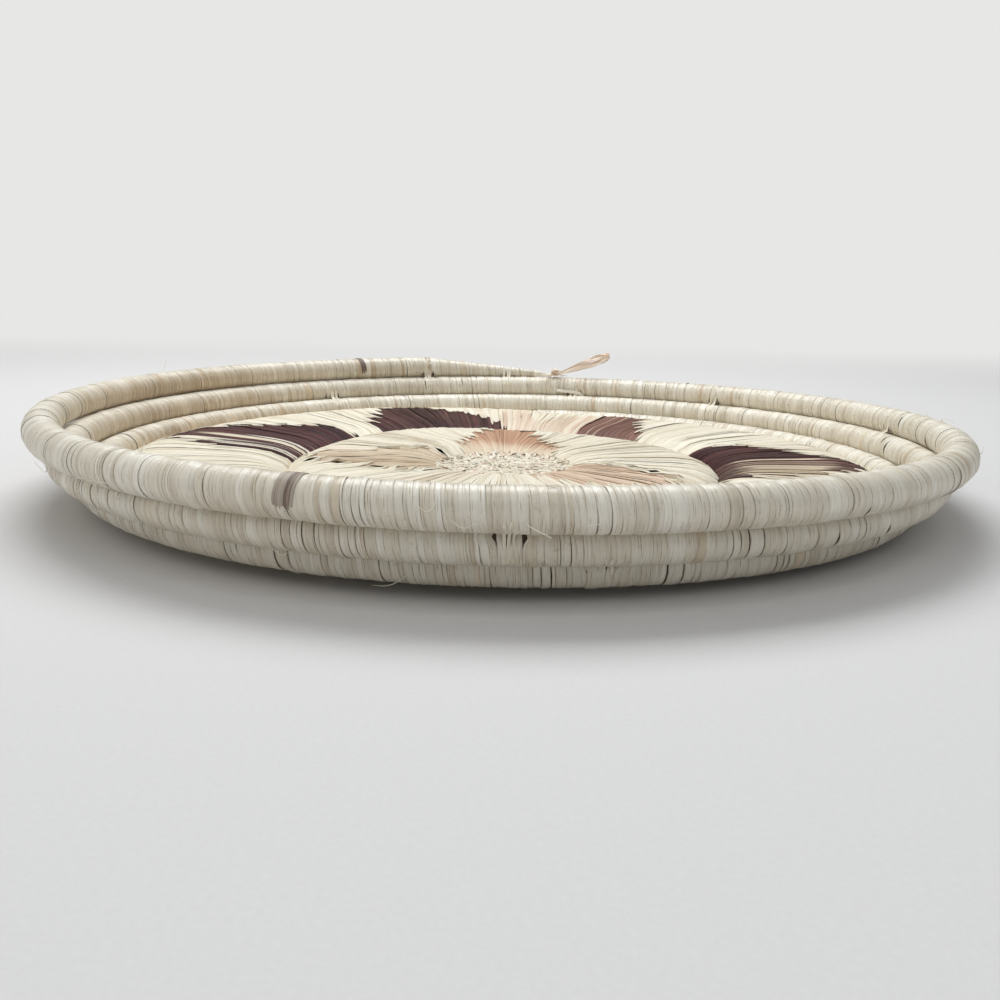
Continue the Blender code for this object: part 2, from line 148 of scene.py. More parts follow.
def noise(tree, vector, stretch, detail=3.0, roughness=0.55):
    scaled = new_node(tree, "ShaderNodeVectorMath", {0: vector, 1: stretch}, operation="MULTIPLY")
    inputs = {"Vector": scaled.outputs[0], "Scale": 1.0, "Detail": detail, "Roughness": roughness}
    return new_node(tree, "ShaderNodeTexNoise", inputs).outputs["Fac"]


def raffia(name, stops, other, gloss=0.44, stained=0.30, edge=0.55, shine=0.5):
    """Split leaf: long fibres, a tone for each strip, painted shade along its edges, freckles and a satin shine."""
    made = bpy.data.materials.new(name)
    made.use_nodes = True
    tree = made.node_tree
    shader = tree.nodes["Principled BSDF"]

    def scaled(value, gain, base, clamp=False):
        return maths(tree, "MULTIPLY_ADD", value, gain, base, clamp=clamp)

    strip = new_node(tree, "ShaderNodeAttribute", attribute_name="strip").outputs["Vector"]
    shade = new_node(tree, "ShaderNodeAttribute", attribute_name="shade").outputs["Vector"]
    own_tone, across, hue = new_node(tree, "ShaderNodeSeparateXYZ", {0: shade}).outputs
    spot = new_node(tree, "ShaderNodeTexCoord").outputs["Object"]
    fibre = noise(tree, strip, (70.0, 3600.0, 911.0), 4.0, 0.62)
    streak = noise(tree, strip, (35.0, 1100.0, 377.0), 2.0)
    blotch = noise(tree, spot, (55.0, 55.0, 90.0))
    tone = scaled(fibre, 0.55, scaled(own_tone, 0.52, -0.32))
    tone = scaled(blotch, 0.34, scaled(streak, 0.42, tone), clamp=True)
    colour = mix(tree, hue, ramp(tree, tone, stops), ramp(tree, tone, other))
    freckle = scaled(noise(tree, spot, (420.0, 420.0, 420.0), 4.0, 0.7), 3.4, -2.05, clamp=True)
    dash = scaled(noise(tree, strip, (150.0, 4300.0, 611.0), 2.0, 0.5), 8.0, -4.75, clamp=True)
    freckle = maths(tree, "MULTIPLY", maths(tree, "MAXIMUM", freckle, dash), stained)
    colour = mix(tree, freckle, colour, RAFFIA_STAIN, "MULTIPLY")
    # Painted shade: each strip darkens towards its edges, in broken lengths
    patchy = scaled(noise(tree, strip, (170.0, 0.0, 733.0), 2.0, 0.5), 4.5, -1.75, clamp=True)
    edge_shade = scaled(across, 5.0, -4.0, clamp=True)
    edge_shade = maths(tree, "MULTIPLY", edge_shade, maths(tree, "MULTIPLY", patchy, edge))
    colour = mix(tree, edge_shade, colour, RAFFIA_EDGE_SHADE, "MULTIPLY")
    tree.links.new(colour, shader.inputs["Base Color"])
    tree.links.new(scaled(fibre, 0.30, gloss - 0.15), shader.inputs["Roughness"])
    relief = {"Height": scaled(streak, 0.6, fibre), "Strength": 0.75, "Distance": 0.00018}
    bump = new_node(tree, "ShaderNodeBump", relief)
    tree.links.new(bump.outputs["Normal"], shader.inputs["Normal"])
    shader.inputs["Specular IOR Level"].default_value = shine
    return made


# Colours from a strip's darkest fibres to its lightest: place in the ramp, red, green, blue
COLOURS = {
    "cream": [(0.0, 0.24, 0.19, 0.13), (0.22, 0.54, 0.47, 0.35), (0.60, 0.74, 0.68, 0.55), (1.0, 0.88, 0.84, 0.74)],
    "pale": [(0.0, 0.28, 0.20, 0.11), (0.25, 0.62, 0.53, 0.37), (0.55, 0.79, 0.73, 0.57), (1.0, 0.91, 0.87, 0.76)],
    "tan": [(0.0, 0.20, 0.125, 0.065), (0.35, 0.46, 0.33, 0.195), (1.0, 0.76, 0.62, 0.43)],
    "pink": [(0.0, 0.22, 0.13, 0.075), (0.35, 0.55, 0.385, 0.265), (1.0, 0.80, 0.62, 0.47)],
    "rust": [(0.0, 0.16, 0.065, 0.03), (0.35, 0.37, 0.185, 0.10), (1.0, 0.60, 0.345, 0.205)],
    "dark": [(0.0, 0.009, 0.003, 0.003), (0.45, 0.034, 0.0105, 0.011), (1.0, 0.13, 0.046, 0.041)],
    "reddish": [(0.0, 0.030, 0.011, 0.008), (0.45, 0.110, 0.042, 0.031), (1.0, 0.30, 0.14, 0.10)],
    "brown": [(0.0, 0.07, 0.045, 0.032), (0.45, 0.19, 0.13, 0.095), (1.0, 0.50, 0.41, 0.32)],
    "straw": [(0.0, 0.56, 0.38, 0.26), (0.40, 0.95, 0.76, 0.60), (1.0, 0.98, 0.90, 0.79)],
    "wheat": [(0.0, 0.30, 0.20, 0.11), (0.35, 0.62, 0.49, 0.33), (1.0, 0.85, 0.75, 0.56)],
    # The stems' own brown, darkened further as painted shade, so that holes and gaps that show them look dark
    "grass": [(0.0, 0.05, 0.034, 0.016), (0.45, 0.13, 0.095, 0.05), (1.0, 0.27, 0.21, 0.12)],
}
# Each look: its slot, its colours, the colours that its hue turns to, and its own settings
LOOKS = {
    "cream": ("raffia_cream", "cream", "tan", dict(gloss=0.36, stained=0.85, edge=0.75, shine=0.72)),
    "pale": ("raffia_pale", "pale", "pink", dict(gloss=0.50, stained=0.32, shine=0.42)),
    "petal": ("raffia_cream", "pale", "pink", dict(gloss=0.50, stained=0.34, shine=0.42)),
    "tan": ("raffia_tan", "tan", "cream", dict(gloss=0.52, stained=0.60, edge=0.85)),
    "rust": ("raffia_rust", "rust", "wheat", dict(gloss=0.55)),
    "pink": ("raffia_rust", "pink", "tan", dict(gloss=0.52)),
    "dark": ("raffia_dark", "dark", "wheat", dict(gloss=0.54, stained=0.0, edge=0.2, shine=0.10)),
    "streaked": ("raffia_dark", "dark", "pale", dict(gloss=0.54, stained=0.0, edge=0.2, shine=0.15)),
    "reddish": ("raffia_dark", "reddish", "tan", dict(gloss=0.52, stained=0.0, edge=0.2, shine=0.2)),
    "brown": ("raffia_brown", "brown", "cream", dict(gloss=0.50)),
    "straw": ("raffia_straw", "straw", "pink", dict(gloss=0.48)),
    # Grass stems, in colours darkened as painted shade
    "grass": ("grass_core", "grass", "tan", dict(gloss=0.75)),
    # The under wrap is painted shade: a dark sheet that shows in the gaps between strips
    "under": ("raffia_cream", "grass", "brown", dict(gloss=0.80)),
}
LOOK_NAMES = {"grass": "grass_stems_darkened_as_shade", "under": "raffia_under_wrap_painted_shade"}
MATERIALS = {}
for look, (slot, first, second, settings) in LOOKS.items():
    name = LOOK_NAMES.get(look, f"raffia_{look}_strips")
    MATERIALS[look] = raffia(name, COLOURS[first], COLOURS[second], **settings)

# Helpers for arrays of places


def unit(vectors):
    return vectors / np.maximum(1e-12, np.linalg.norm(vectors, axis=-1, keepdims=True))


def stack(*values):
    return np.stack(np.broadcast_arrays(*values), -1)


def polar(reach, angle, height):
    """Places, or directions, at a distance and an angle round the vertical."""
    return stack(reach * np.cos(angle), reach * np.sin(angle), height)


def clamp(values):
    return np.clip(values, 0.0, 1.0)


def bell(off, width):
    return np.exp(-((off / width) ** 2))


def wrapped(angle):
    return (angle + math.pi) % CIRCLE - math.pi


def lap(steps):
    """Angles of a closed path."""
    return np.linspace(0.0, CIRCLE, steps + 1)[:-1]


def tucked(even, share):
    """1 along the middle of a strip, and down to 0 over a share of it at both ends."""
    return clamp(np.minimum(even, 1 - even) / share)


def smooth_noise(values, seed, waves, amplitude):
    """A sum of sine waves with random phases, for gentle changes along the plate."""
    phases = np.random.default_rng(seed).random(len(waves)) * CIRCLE
    total = 0.0
    for phase, wave in zip(phases, waves):
        total = total + np.sin(values * wave + phase)
    return amplitude * total / math.sqrt(len(waves))


# Strips and cords as meshes

FLAT = np.array([(-1.0, -0.1), (-0.78, 0.80), (0.0, 1.0), (0.78, 0.80), (1.0, -0.1), (0.0, -0.9)])
ROUND = np.array([(math.cos(math.radians(150 - 60 * k)), math.sin(math.radians(150 - 60 * k))) for k in range(6)])


def tangents(paths, closed):
    if closed:
        return unit(np.roll(paths, -1, axis=1) - np.roll(paths, 1, axis=1))
    return unit(np.gradient(paths, axis=1))


def spread_over(values, shape):
    """A value for each strip, or for each of its points, spread over all points."""
    values = np.asarray(values, float)
    return np.broadcast_to(values[:, None] if values.ndim == 1 else values, shape)


class Strips:
    """Collects bands of strips for one piece: paths, the side that faces out, half widths and thickness."""

    def __init__(self):
        self.points = []
        self.faces = []
        self.strip = []
        self.shade = []
        self.count = 0

    def add(self, paths, normals, half, thick, tone=None, hue=0.0, closed=False, section=FLAT):
        strips, steps, _ = paths.shape
        if strips == 0:
            return
        corners = len(section)
        shape = (strips, steps, corners)
        tangent = tangents(paths, closed)
        across = unit(np.cross(tangent, normals))
        outward = np.cross(across, tangent)
        half = np.broadcast_to(half, shape[:2])[:, :, None]
        thick = np.broadcast_to(thick, shape[:2])[:, :, None]
        rough = EDGE_ROUGHNESS if section is FLAT else 0.0
        u = section[:, 0]
        lift = section[:, 1] + rough * rng.normal(size=(strips, corners))
        points = (
            paths[:, :, None, :]
            + across[:, :, None, :] * (half * u)[..., None]
            + outward[:, :, None, :] * (thick * lift[:, None, :])[..., None]
        )
        if tone is None:
            tone = rng.random(strips)
        run = np.zeros((strips, steps, 1))
        run[:, 1:, 0] = np.cumsum(np.linalg.norm(np.diff(paths, axis=1), axis=-1), axis=1)
        strip = stack(run, half * u, rng.random(strips)[:, None, None])
        edge = np.abs(u) if section is FLAT else 0.0 * u
        shade = stack(spread_over(tone, shape[:2])[:, :, None], edge, spread_over(hue, shape[:2])[:, :, None])

        index = np.arange(strips * steps * corners).reshape(shape) + self.count
        ahead = np.roll(index, -1, axis=2)
        if closed:
            after, after_ahead = np.roll(index, -1, axis=1), np.roll(ahead, -1, axis=1)
            quads = np.stack([index, ahead, after_ahead, after], -1).reshape(-1, 4)
        else:
            quads = np.stack([index[:, :-1], ahead[:, :-1], ahead[:, 1:], index[:, 1:]], -1).reshape(-1, 4)
            first, last = index[:, 0], index[:, -1]
            caps = [first[:, [0, 5, 4, 3]], first[:, [0, 3, 2, 1]], last[:, [0, 1, 2, 3]], last[:, [0, 3, 4, 5]]]
            quads = np.concatenate([quads, *caps])
        self.points.append(points.reshape(-1, 3))
        self.faces.append(quads)
        self.strip.append(strip.reshape(-1, 3))
        self.shade.append(shade.reshape(-1, 3))
        self.count += strips * steps * corners

    def build(self, name, material, replaces=(), body="plate"):
        mesh = bpy.data.meshes.new(name)
        mesh.from_pydata(np.concatenate(self.points), [], np.concatenate(self.faces))
        for label, values in (("strip", self.strip), ("shade", self.shade)):
            layer = mesh.attributes.new(label, "FLOAT_VECTOR", "POINT")
            layer.data.foreach_set("vector", np.concatenate(values).astype(np.float32).ravel())
        mesh.materials.append(MATERIALS[material])
        mesh.shade_smooth()
        mesh.set_sharp_from_angle(angle=SHARP_ANGLE)
        made = bpy.data.objects.new(name, mesh)
        bpy.context.scene.collection.objects.link(made)
        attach(made, body)
        if replaces:
            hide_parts(*replaces)


def cords(strips, paths, radii, tone=None, hue=0.0, closed=False):
    """Round stems or hairs along paths."""
    flat = np.abs(tangents(paths, closed)[..., 2:]) < 0.9
    guide = np.where(flat, UP, np.array([1.0, 0.0, 0.0]))
    strips.add(paths, guide, radii, radii, tone, hue, closed, ROUND)


# The wall


def wall_section(turn):
    slope = RIM_SLOPE - SLOPE_EASE * turn
    reach = RIM_RADIUS - SLOPE_ARC * (math.sin(RIM_SLOPE) - np.sin(slope))
    height = RIM_HEIGHT - SLOPE_ARC * (np.cos(slope) - math.cos(RIM_SLOPE))
    return reach, height


def thinning(turn):
    return TIP_SHARE + (1 - TIP_SHARE) * clamp(turn / TAPER_TURNS)


def wall_place(turn):
    turn = np.asarray(turn, float)
    low_reach, low_height = wall_section(turn + 1)
    reach, height = wall_section(turn)
    share = (COIL_RADIUS + TURN_GAP + COIL_RADIUS * thinning(turn)) / TURN_PITCH
    reach = low_reach + (reach - low_reach) * share
    height = low_height + (height - low_height) * share
    return polar(reach, np.radians(END_AZIMUTH + 360.0 * turn), height)


def wall_frame(turn):
    """Centre of the coil, outwards and upwards across it, and along it."""
    turn = np.asarray(turn, float)
    along = unit(wall_place(turn - 1e-4) - wall_place(turn + 1e-4))
    up = unit(UP - along * along[..., 2:])
    return wall_place(turn), np.cross(up, along), up, along


def turn_at(azimuth, crease=0):
    return ((azimuth - END_AZIMUTH) % 360.0) / 360.0 + crease


def around(turn, angle, radius):
    """Places on the coil at a section angle, with the direction that faces out of the coil."""
    turn, angle, radius = np.broadcast_arrays(turn, angle, radius)
    centre, out, up, _ = wall_frame(turn)
    facing = out * np.cos(angle)[..., None] + up * np.sin(angle)[..., None]
    return centre + facing * radius[..., None], facing


RUN_TURNS = np.linspace(-0.002, WALL_TURNS, 3001)
RUN_STEPS = np.linalg.norm(np.diff(wall_place(RUN_TURNS), axis=0), axis=-1)
RUN_LENGTHS = np.concatenate([[0.0], np.cumsum(RUN_STEPS)])


def run_at(turn):
    """Length along the coil from its end on the rim."""
    return np.interp(turn, RUN_TURNS, RUN_LENGTHS)


def turn_of(run):
    return np.interp(run, RUN_LENGTHS, RUN_TURNS)


def crease_angle(turn):
    """The section angle at which the coil meets the turn below."""
    return math.pi + RIM_SLOPE - SLOPE_EASE * (turn + 0.5)


# Azimuth, crease counted from the rim, and the side that the tie shows on
TIE_PLACES = [
    (105.0, 0, "dish"), (89.5, 0, "dish"), (76.0, 0, "dish"), (47.5, 0, "dish"), (6.0, 0, "dish"),
    (125.0, 1, "dish"), (270.5, 0, "outside"), (279.5, 1, "outside"),
]
# Azimuth, crease, and degrees from the crease to the slit
CREASE_SLITS = [
    (-8.0, 0, -28), (3.0, 0, -78), (-7.0, 1, -28), (1.0, 1, -60), (303.0, 0, 78), (311.0, 0, 84), (328.0, 0, 50),
]


def wall_slits():
    """Slits that show between strips: turn, section angle, reach round the coil in degrees, half width."""
    slits = []

    def add_pair(turn, lean, upper, lower, shift=0.0):
        """A slit on a turn beside its crease, and the mirror image on the turn below."""
        crease = crease_angle(turn)
        slits.append((turn + shift, crease + math.radians(lean), *upper))
        slits.append((turn + 1 + shift, crease - math.pi - math.radians(lean), *lower))

    spacing = 2.6 * MM / 0.97  # In turns of about 0.97 m
    for azimuth, crease, side in TIE_PLACES:
        for k in (-1, 0, 1):
            lean = 28 if side == "outside" else -28
            add_pair(turn_at(azimuth, crease), lean, (22.0, 0.75 * MM), (20.0, 0.80 * MM), k * spacing)
    for azimuth, crease, lean in CREASE_SLITS:
        add_pair(turn_at(azimuth, crease), lean, (30.0, 0.6 * MM), (26.0, 0.6 * MM))
    for _ in range(60):
        turn = rng.uniform(0.1, WALL_TURNS - 0.05)
        slits.append((turn, rng.uniform(0, CIRCLE), rng.uniform(15, 50), rng.uniform(0.15, 0.4) * MM))
    return slits


def pushed(run, angle, slits):
    """Moves strips apart at the slits. Both arrays have a row for each strip."""
    moved = run.copy()
    for turn, place, reach, width in slits:
        swell = clamp(1 - (wrapped(angle - place) / math.radians(reach)) ** 2)
        off = run - run_at(turn)
        moved += np.sign(off) * width * swell * bell(off, 3.2 * width + 1.2 * MM)
    return moved


def wall_strips():
    """Places and widths of the strips along the whole coil; they are broader at the front right."""
    places = []
    widths = []
    run = 0.6 * MM
    while run < RUN_LENGTHS[-1] - 1.0 * MM:
        azimuth = (END_AZIMUTH + 360 * WALL_TURNS * run / RUN_LENGTHS[-1]) % 360.0
        middle = 1.55 * (1.6 if 296 < azimuth < 345 else 1.0)
        width = float(np.clip(rng.lognormal(math.log(middle), 0.42), 0.6, 4.4)) * MM
        places.append(run + width / 2)
        widths.append(width)
        run += width
    return np.array(places), np.array(widths)


def build_wall():
    slits = wall_slits()
    places, widths = wall_strips()
    count = len(places)
    turns = turn_of(places)
    azimuths = np.radians(END_AZIMUTH + 360 * turns)
    degrees = np.degrees(azimuths) % 360

    # Paths: a little more than once round the coil, leaning along it, and pressed apart at the slits
    progress = np.linspace(0.0, 1.0, WRAP_STEPS)[None, :]
    angle = crease_angle(turns)[:, None] - math.radians(8) + progress * WRAP_REACH
    slant = 2.6 * MM + smooth_noise(azimuths, 3, (3, 7, 13), 0.9 * MM) + 4.6 * MM * bell(degrees - 318, 20)
    slant = slant + rng.normal(size=count) * 0.25 * MM
    bend = smooth_noise(azimuths, 5, (5, 11, 23), 0.30 * MM)
    run = places[:, None] - slant[:, None] * (progress - 0.5) + bend[:, None] * np.sin(CIRCLE * progress)
    run = np.clip(pushed(run, angle, slits), 0.1 * MM, RUN_LENGTHS[-1])
    point_turns = turn_of(run)
    tuck = tucked(progress, 0.045)
    wobble = smooth_noise(run * 900, 9, (0.31, 0.83), 0.045 * MM)
    radius = WRAP_RADIUS + rng.normal(size=(count, 1)) * 0.028 * MM + wobble - 0.5 * MM * (1 - tuck)
    paths, facing = around(point_turns, angle, radius * thinning(point_turns))
    facing = facing + wall_frame(point_turns)[3] * rng.normal(size=(count, 1, 1)) * 0.05

    # Widths: most strips overlap their neighbours, and all of them swell and narrow a little
    spread = rng.choice([1.06, 1.14, 0.93], size=(count, 1), p=[0.62, 0.26, 0.12])
    waves = np.random.default_rng(77).normal(size=(count, 6))
    waves = np.stack([np.interp(progress[0], np.linspace(0, 1, 6), row) for row in waves])
    half = widths[:, None] * 0.5 * spread * (0.55 + 0.45 * tuck) * (1 + 0.05 * waves)
    thick = 0.10 * MM + 0.022 * widths[:, None]

    # Colours: a tone for each strip, some warm ones, and tan on the inner side at the left, partly the strips' own
    # tan and partly painted shade
    tone = 0.56 + 0.20 * rng.normal(size=count) + smooth_noise(azimuths + turns, 11, (2, 9, 31), 0.06)
    tone = np.clip(tone, 0.05, 0.98)
    tan_and_shade = np.clip(0.04 + smooth_noise(azimuths, 13, (3, 5, 11), 0.06), 0.0, 0.5)
    tan_and_shade = np.clip(tan_and_shade + (rng.random(count) < 0.06) * rng.uniform(0.2, 0.7, count), 0.0, 0.9)
    # Painted shade: on the left, the side of the wall that faces the dish turns tan
    left = bell(degrees - 158, 36) * (0.75 + 0.4 * rng.random(count))
    inside = clamp(0.35 - np.cos(angle)) * clamp(1.2 - np.sin(angle))
    tan_and_shade = np.clip(tan_and_shade[:, None] + 0.85 * left[:, None] * inside, 0.0, 0.95)
    bounds = np.linspace(0, WALL_TURNS, 7)
    for k in range(6):
        chosen = (turns >= bounds[k]) & (turns < bounds[k + 1])
        strips = Strips()
        strips.add(paths[chosen], facing[chosen], half[chosen], thick[chosen], tone[chosen], tan_and_shade[chosen])
        strips.build(f"wall_strips_{k + 1}", "cream", ("wall_coil",))

    # A dark tube under the strips, as painted shade in the gaps between them
    under = Strips()
    turns = np.linspace(0.004, WALL_TURNS - 0.001, 620)[:-1, None]
    paths, facing = around(turns, lap(12), UNDER_RADIUS * thinning(turns))
    under.add(paths, facing, 1.8 * MM, 0.12 * MM, closed=True, hue=0.5)
    under.build("wall_painted_shade_wrap", "under", ("wall_coil",))

    core = Strips()
    turns = np.linspace(TAPER_TURNS + 0.004, WALL_TURNS - 0.0004, 560)
    stems = [(0.0, 0.0)]
    for count, reach in ((6, 1.55), (12, 3.05)):
        stems += [(reach, CIRCLE * (k + 0.3) / count) for k in range(count)]
    for reach, place in stems:
        angle = place + smooth_noise(turns, int(97 * place) + 3, (9, 21), 0.12)
        path, _ = around(turns, angle, reach * MM)
        cords(core, path[None], WALL_STEM_RADIUS)
    core.build("wall_stems", "grass", ("wall_core",))


# The floor


def wall_edge(azimuth):
    """How far out the outer ring reaches beside the wall's lowest turn."""
    reach, _ = wall_section(WALL_TURNS - 1 + turn_at(azimuth))
    return reach - COIL_RADIUS - 0.15 * MM


def wall_crease(azimuth):
    """Height of the outer ring's edge: it follows the wall's lowest turn part of the way up."""
    _, height = wall_section(WALL_TURNS - 1 + turn_at(azimuth))
    _, low = wall_section(WALL_TURNS)
    after = (azimuth - END_AZIMUTH) % 360.0
    return WALL_CREASE + 0.4 * (height - low) * clamp(after / 40.0)


def stem_edge(azimuth):
    """The outer ring's edge with its step eased, for the stems that run all round inside it."""
    after = (azimuth - END_AZIMUTH) % 360.0
    return wall_edge(azimuth) - clamp(1 - after / 60.0) * 8.6 * MM - 1.0 * MM


def ring_section(place, inner, outer, inner_crease, outer_crease):
    """The ring's section, as distance and height: -1 to 0 up its inner side, 0 to 1 over it, 1 to 2 down."""
    share, under, over = clamp(place), clamp(-place), clamp(place - 1)
    height = inner_crease + (outer_crease - inner_crease) * share
    height = height + PAD_CROWN * (1 - np.abs(2 * share - 1) ** 5.0)
    reach = inner + (outer - inner) * share
    reach = reach + np.interp(under, (0, 0.5, 1), (0, 0.1, 3.6)) * MM
    reach = reach - np.interp(over, (0, 0.5, 1), (0, 0.1, 3.6)) * MM
    height = np.where(under > 0, np.interp(under, (0, 0.5, 1), (1.0, 0.30, 0.05)) * inner_crease, height)
    height = np.where(over > 0, np.interp(over, (0, 0.5, 1), (1.0, 0.22, 0.04)) * outer_crease, height)
    return reach, np.maximum(height, 0.48 * MM)


def ring_paths(azimuths, first, last, ring, side, bulge, seed):
    """Paths over a ring, one for each azimuth, from one place of its section to another."""
    inner, outer, inner_crease, outer_crease = ring
    first, last, outer, outer_crease = (
        np.broadcast_to(values, azimuths.shape)[:, None] for values in (first, last, outer, outer_crease)
    )
    place = first + (last - first) * np.linspace(0.0, 1.0, STITCH_STEPS)
    reach, height = ring_section(place, inner, outer, inner_crease, outer_crease)
    share = clamp(place)
    bow = np.sin(math.pi * share)
    angle = np.radians(azimuths)[:, None]
    sway = smooth_noise(angle, seed, (4, 9, 17), 1.6 * MM) * bow
    sway = sway + smooth_noise(angle, seed + 1, (6, 14, 29), 0.6 * MM) * np.sin(CIRCLE * share)
    sideways = side[:, None] * bow * reach / (65 * MM)
    angle = angle + sideways / np.maximum(reach, 10 * MM) + sway / (100 * MM)
    # The inner ring is fuller at the back left
    full = 2.0 * MM * bell((azimuths - 128 + 180) % 360 - 180, 34) * (np.max(outer) < 0.1)
    height = height + (bulge + full)[:, None] * clamp(bow * 1.6)
    return place, reach, angle, height


def open_holes(reach, angle, holes):
    """Moves strips apart at holes, and says how far they narrow there."""
    moved = angle.copy()
    narrow = np.ones_like(angle)
    for distance, azimuth, length, width in holes:
        off = wrapped(angle - math.radians(azimuth)) * reach
        swell = clamp(1 - ((reach - distance * MM) / (length * MM)) ** 2)
        moved += np.sign(off) * width * MM * swell * bell(off, (2.6 * width + 1.0) * MM) / reach
        narrow *= 1 - 0.5 * swell * bell(off, (1.6 * width + 0.5) * MM)
    return moved, narrow


def lay(strips, chosen, data, half, tone, hue):
    """Adds the chosen ring paths to a piece, each rolled a little about its length."""
    if not chosen.any():
        return
    _, reach, angle, height = (values[chosen] for values in data)
    rise, step = np.gradient(height, axis=1), np.gradient(reach, axis=1)
    size = np.maximum(1e-9, np.hypot(rise, step))
    roll = rng.normal(size=(chosen.sum(), 1, 1)) * 0.10
    normals = polar(-rise / size, angle, step / size) + roll * stack(-np.sin(angle), np.cos(angle), 0.0)
    strips.add(polar(reach, angle, height), normals, half[chosen], STITCH_THICKNESS, tone[chosen], hue[chosen])


def hidden_patch(start, tip_reach):
    """One of the two patches at the front, which are alike."""
    low = [(0, 81), (3, 92), (9, 108), (15, 123), (18, tip_reach)]
    high = [(22, tip_reach), (26, 121), (32, 106), (37, 92), (40, 81)]
    return start + 20, [(start + a, r) for a, r in low], [(start + a, r) for a, r in high]


# Coloured stretches: azimuth of the tip, then azimuth and distance pairs along the side with the lower and
# along the side with the higher azimuth
WEDGE_SHAPES = {
    "wedge_back": (
        88,
        [(42, 23), (46, 30), (50, 33), (58, 36), (67, 40), (74, 46), (78, 54), (81, 61), (83.5, 70), (84, 77)],
        [(92, 77), (93, 68), (97, 59), (102, 52), (106, 43), (110, 38), (118, 33), (126, 30), (128, 23)],
    ),
    "wedge_left": (
        178,
        [(150, 24), (152, 32), (160, 38), (168, 46), (173, 60), (176, 75)],
        [(181.5, 75), (188, 69), (197, 60), (207, 51), (216, 45), (224, 38), (228, 30), (229, 24)],
    ),
    "wedge_right": (
        323,
        [(284, 24), (287, 36), (291, 46), (297, 56), (305, 64), (316, 72)],
        [(328, 72), (331.5, 61), (335, 51), (340, 42), (346, 35), (351, 29), (352, 24)],
    ),
}
PATCH_SHAPES = {
    "dark_patch_1": (
        352.5,
        [(334, 81), (337, 92), (338.5, 101), (341, 112), (346, 124), (351, 135)],
        [(355, 135), (359, 127), (363, 117.5), (367, 111), (373.5, 103), (380, 95.5), (381, 81)],
    ),
    "dark_patch_2": (
        63.5,
        [(44.5, 81), (46, 85), (49, 93), (55, 107.5), (58.5, 118), (60, 128)],
        [(67, 128), (67.2, 115), (67, 80)],
    ),
    "dark_patch_3": (
        111,
        [(89, 81), (91, 86), (93.5, 93), (96, 102), (99.5, 109), (104, 116), (107, 125), (109, 134)],
        [(113, 134), (116, 127), (119, 120), (122, 112), (125, 102), (128, 93), (129, 81)],
    ),
    "dark_patch_4": (
        169,
        [(139, 81), (141, 90), (143, 97), (148, 105), (154, 117), (159, 126), (163, 134), (166, 144)],
        [(172, 144), (174, 130), (176, 123), (178, 114), (180.5, 105), (181, 95), (180.5, 88), (179, 81)],
    ),
    "dark_patch_5": hidden_patch(208.5, 135),
    "dark_patch_6": hidden_patch(272.5, 134),
}
# Holes between stitches: distance and azimuth, half length outwards and half width
INNER_HOLES = [
    (40, 348.7, 2.8, 2.3), (50, 340.2, 2.8, 2.2), (59.5, 333.8, 2.8, 2.9), (67.6, 329.0, 2.4, 2.5),
    (38, 297, 10, 0.6), (52, 297.5, 9, 0.45), (40, 309, 9, 0.55), (57, 306, 9, 0.5), (44, 325, 8, 0.5),
    (57, 320, 9, 0.5), (72.2, 188.7, 3, 3.0), (62.4, 198.4, 3, 3.0), (52, 209.2, 3.4, 2.8),
    (45.5, 218.0, 3, 2.8), (38.6, 228.5, 3, 2.3), (58, 187.4, 9, 0.9), (47, 193.0, 8, 0.8),
    (36, 203.5, 6, 0.9), (44, 180, 8, 0.7), (60, 178, 9, 0.6), (33, 184, 6, 0.8),
    (28.6, 148.8, 3.2, 1.9), (37.4, 153.4, 4, 0.8), (45.2, 162.8, 4, 0.8), (33, 151, 3, 0.7),
]
OUTER_HOLES = [
    (90, 22, 3, 0.6), (103, 14, 4, 0.6), (111, 6.5, 4, 0.6), (119, 1, 4, 0.6), (97, 142, 4, 0.5),
    (109, 150.5, 4, 0.5), (121, 157, 4, 0.5), (104, 181.5, 4, 0.9), (114, 178, 4, 0.8), (90, 68, 4, 0.4),
    (104, 53, 4, 0.4), (119, 88.5, 3, 0.25), (110, 86.0, 3, 0.22), (126, 79.0, 3, 0.3), (98, 127, 4, 0.4),
]


def coloured_ends(azimuths, shapes, inner, edges, tooth_size, seed):
    """For each stitch the coloured stretch that it belongs to, or -1, and the share of the ring where that ends.

    Stitches end in groups of tooth_size degrees, so that a sloping edge comes out in steps.
    """
    begin = np.full(len(azimuths), -1.0)
    coloured = np.full(len(azimuths), -1)
    for k, (tip, low, high) in enumerate(shapes.values()):
        first, last = low[0][0], high[-1][0]
        local = first + (azimuths - first) % 360.0
        inside = local <= last
        shift = np.random.default_rng(seed + k).random() * tooth_size
        group = (np.floor((local + shift) / tooth_size) + 0.5) * tooth_size - shift
        off = (local - group) / tooth_size
        tooth = off * np.where(local < tip, 1.0, -1.0) + 0.25 * (2 * np.abs(off) - 0.5)
        group = np.clip(group, first, last)
        sides = [np.interp(group, *zip(*pairs)) for pairs in ([*low, (tip, BEYOND)], [(tip, BEYOND), *high])]
        reach = np.minimum(np.where(group < tip, *sides), max(low[-1][1], high[0][1])) * MM
        reach = reach - tooth * TOOTH_LENGTH + rng.normal(size=len(azimuths)) * 0.7 * MM
        share = (reach - inner) / (edges - inner)
        begin[inside] = np.clip(share[inside], 0.03, 0.93)
        coloured[inside] = k
    return begin, coloured


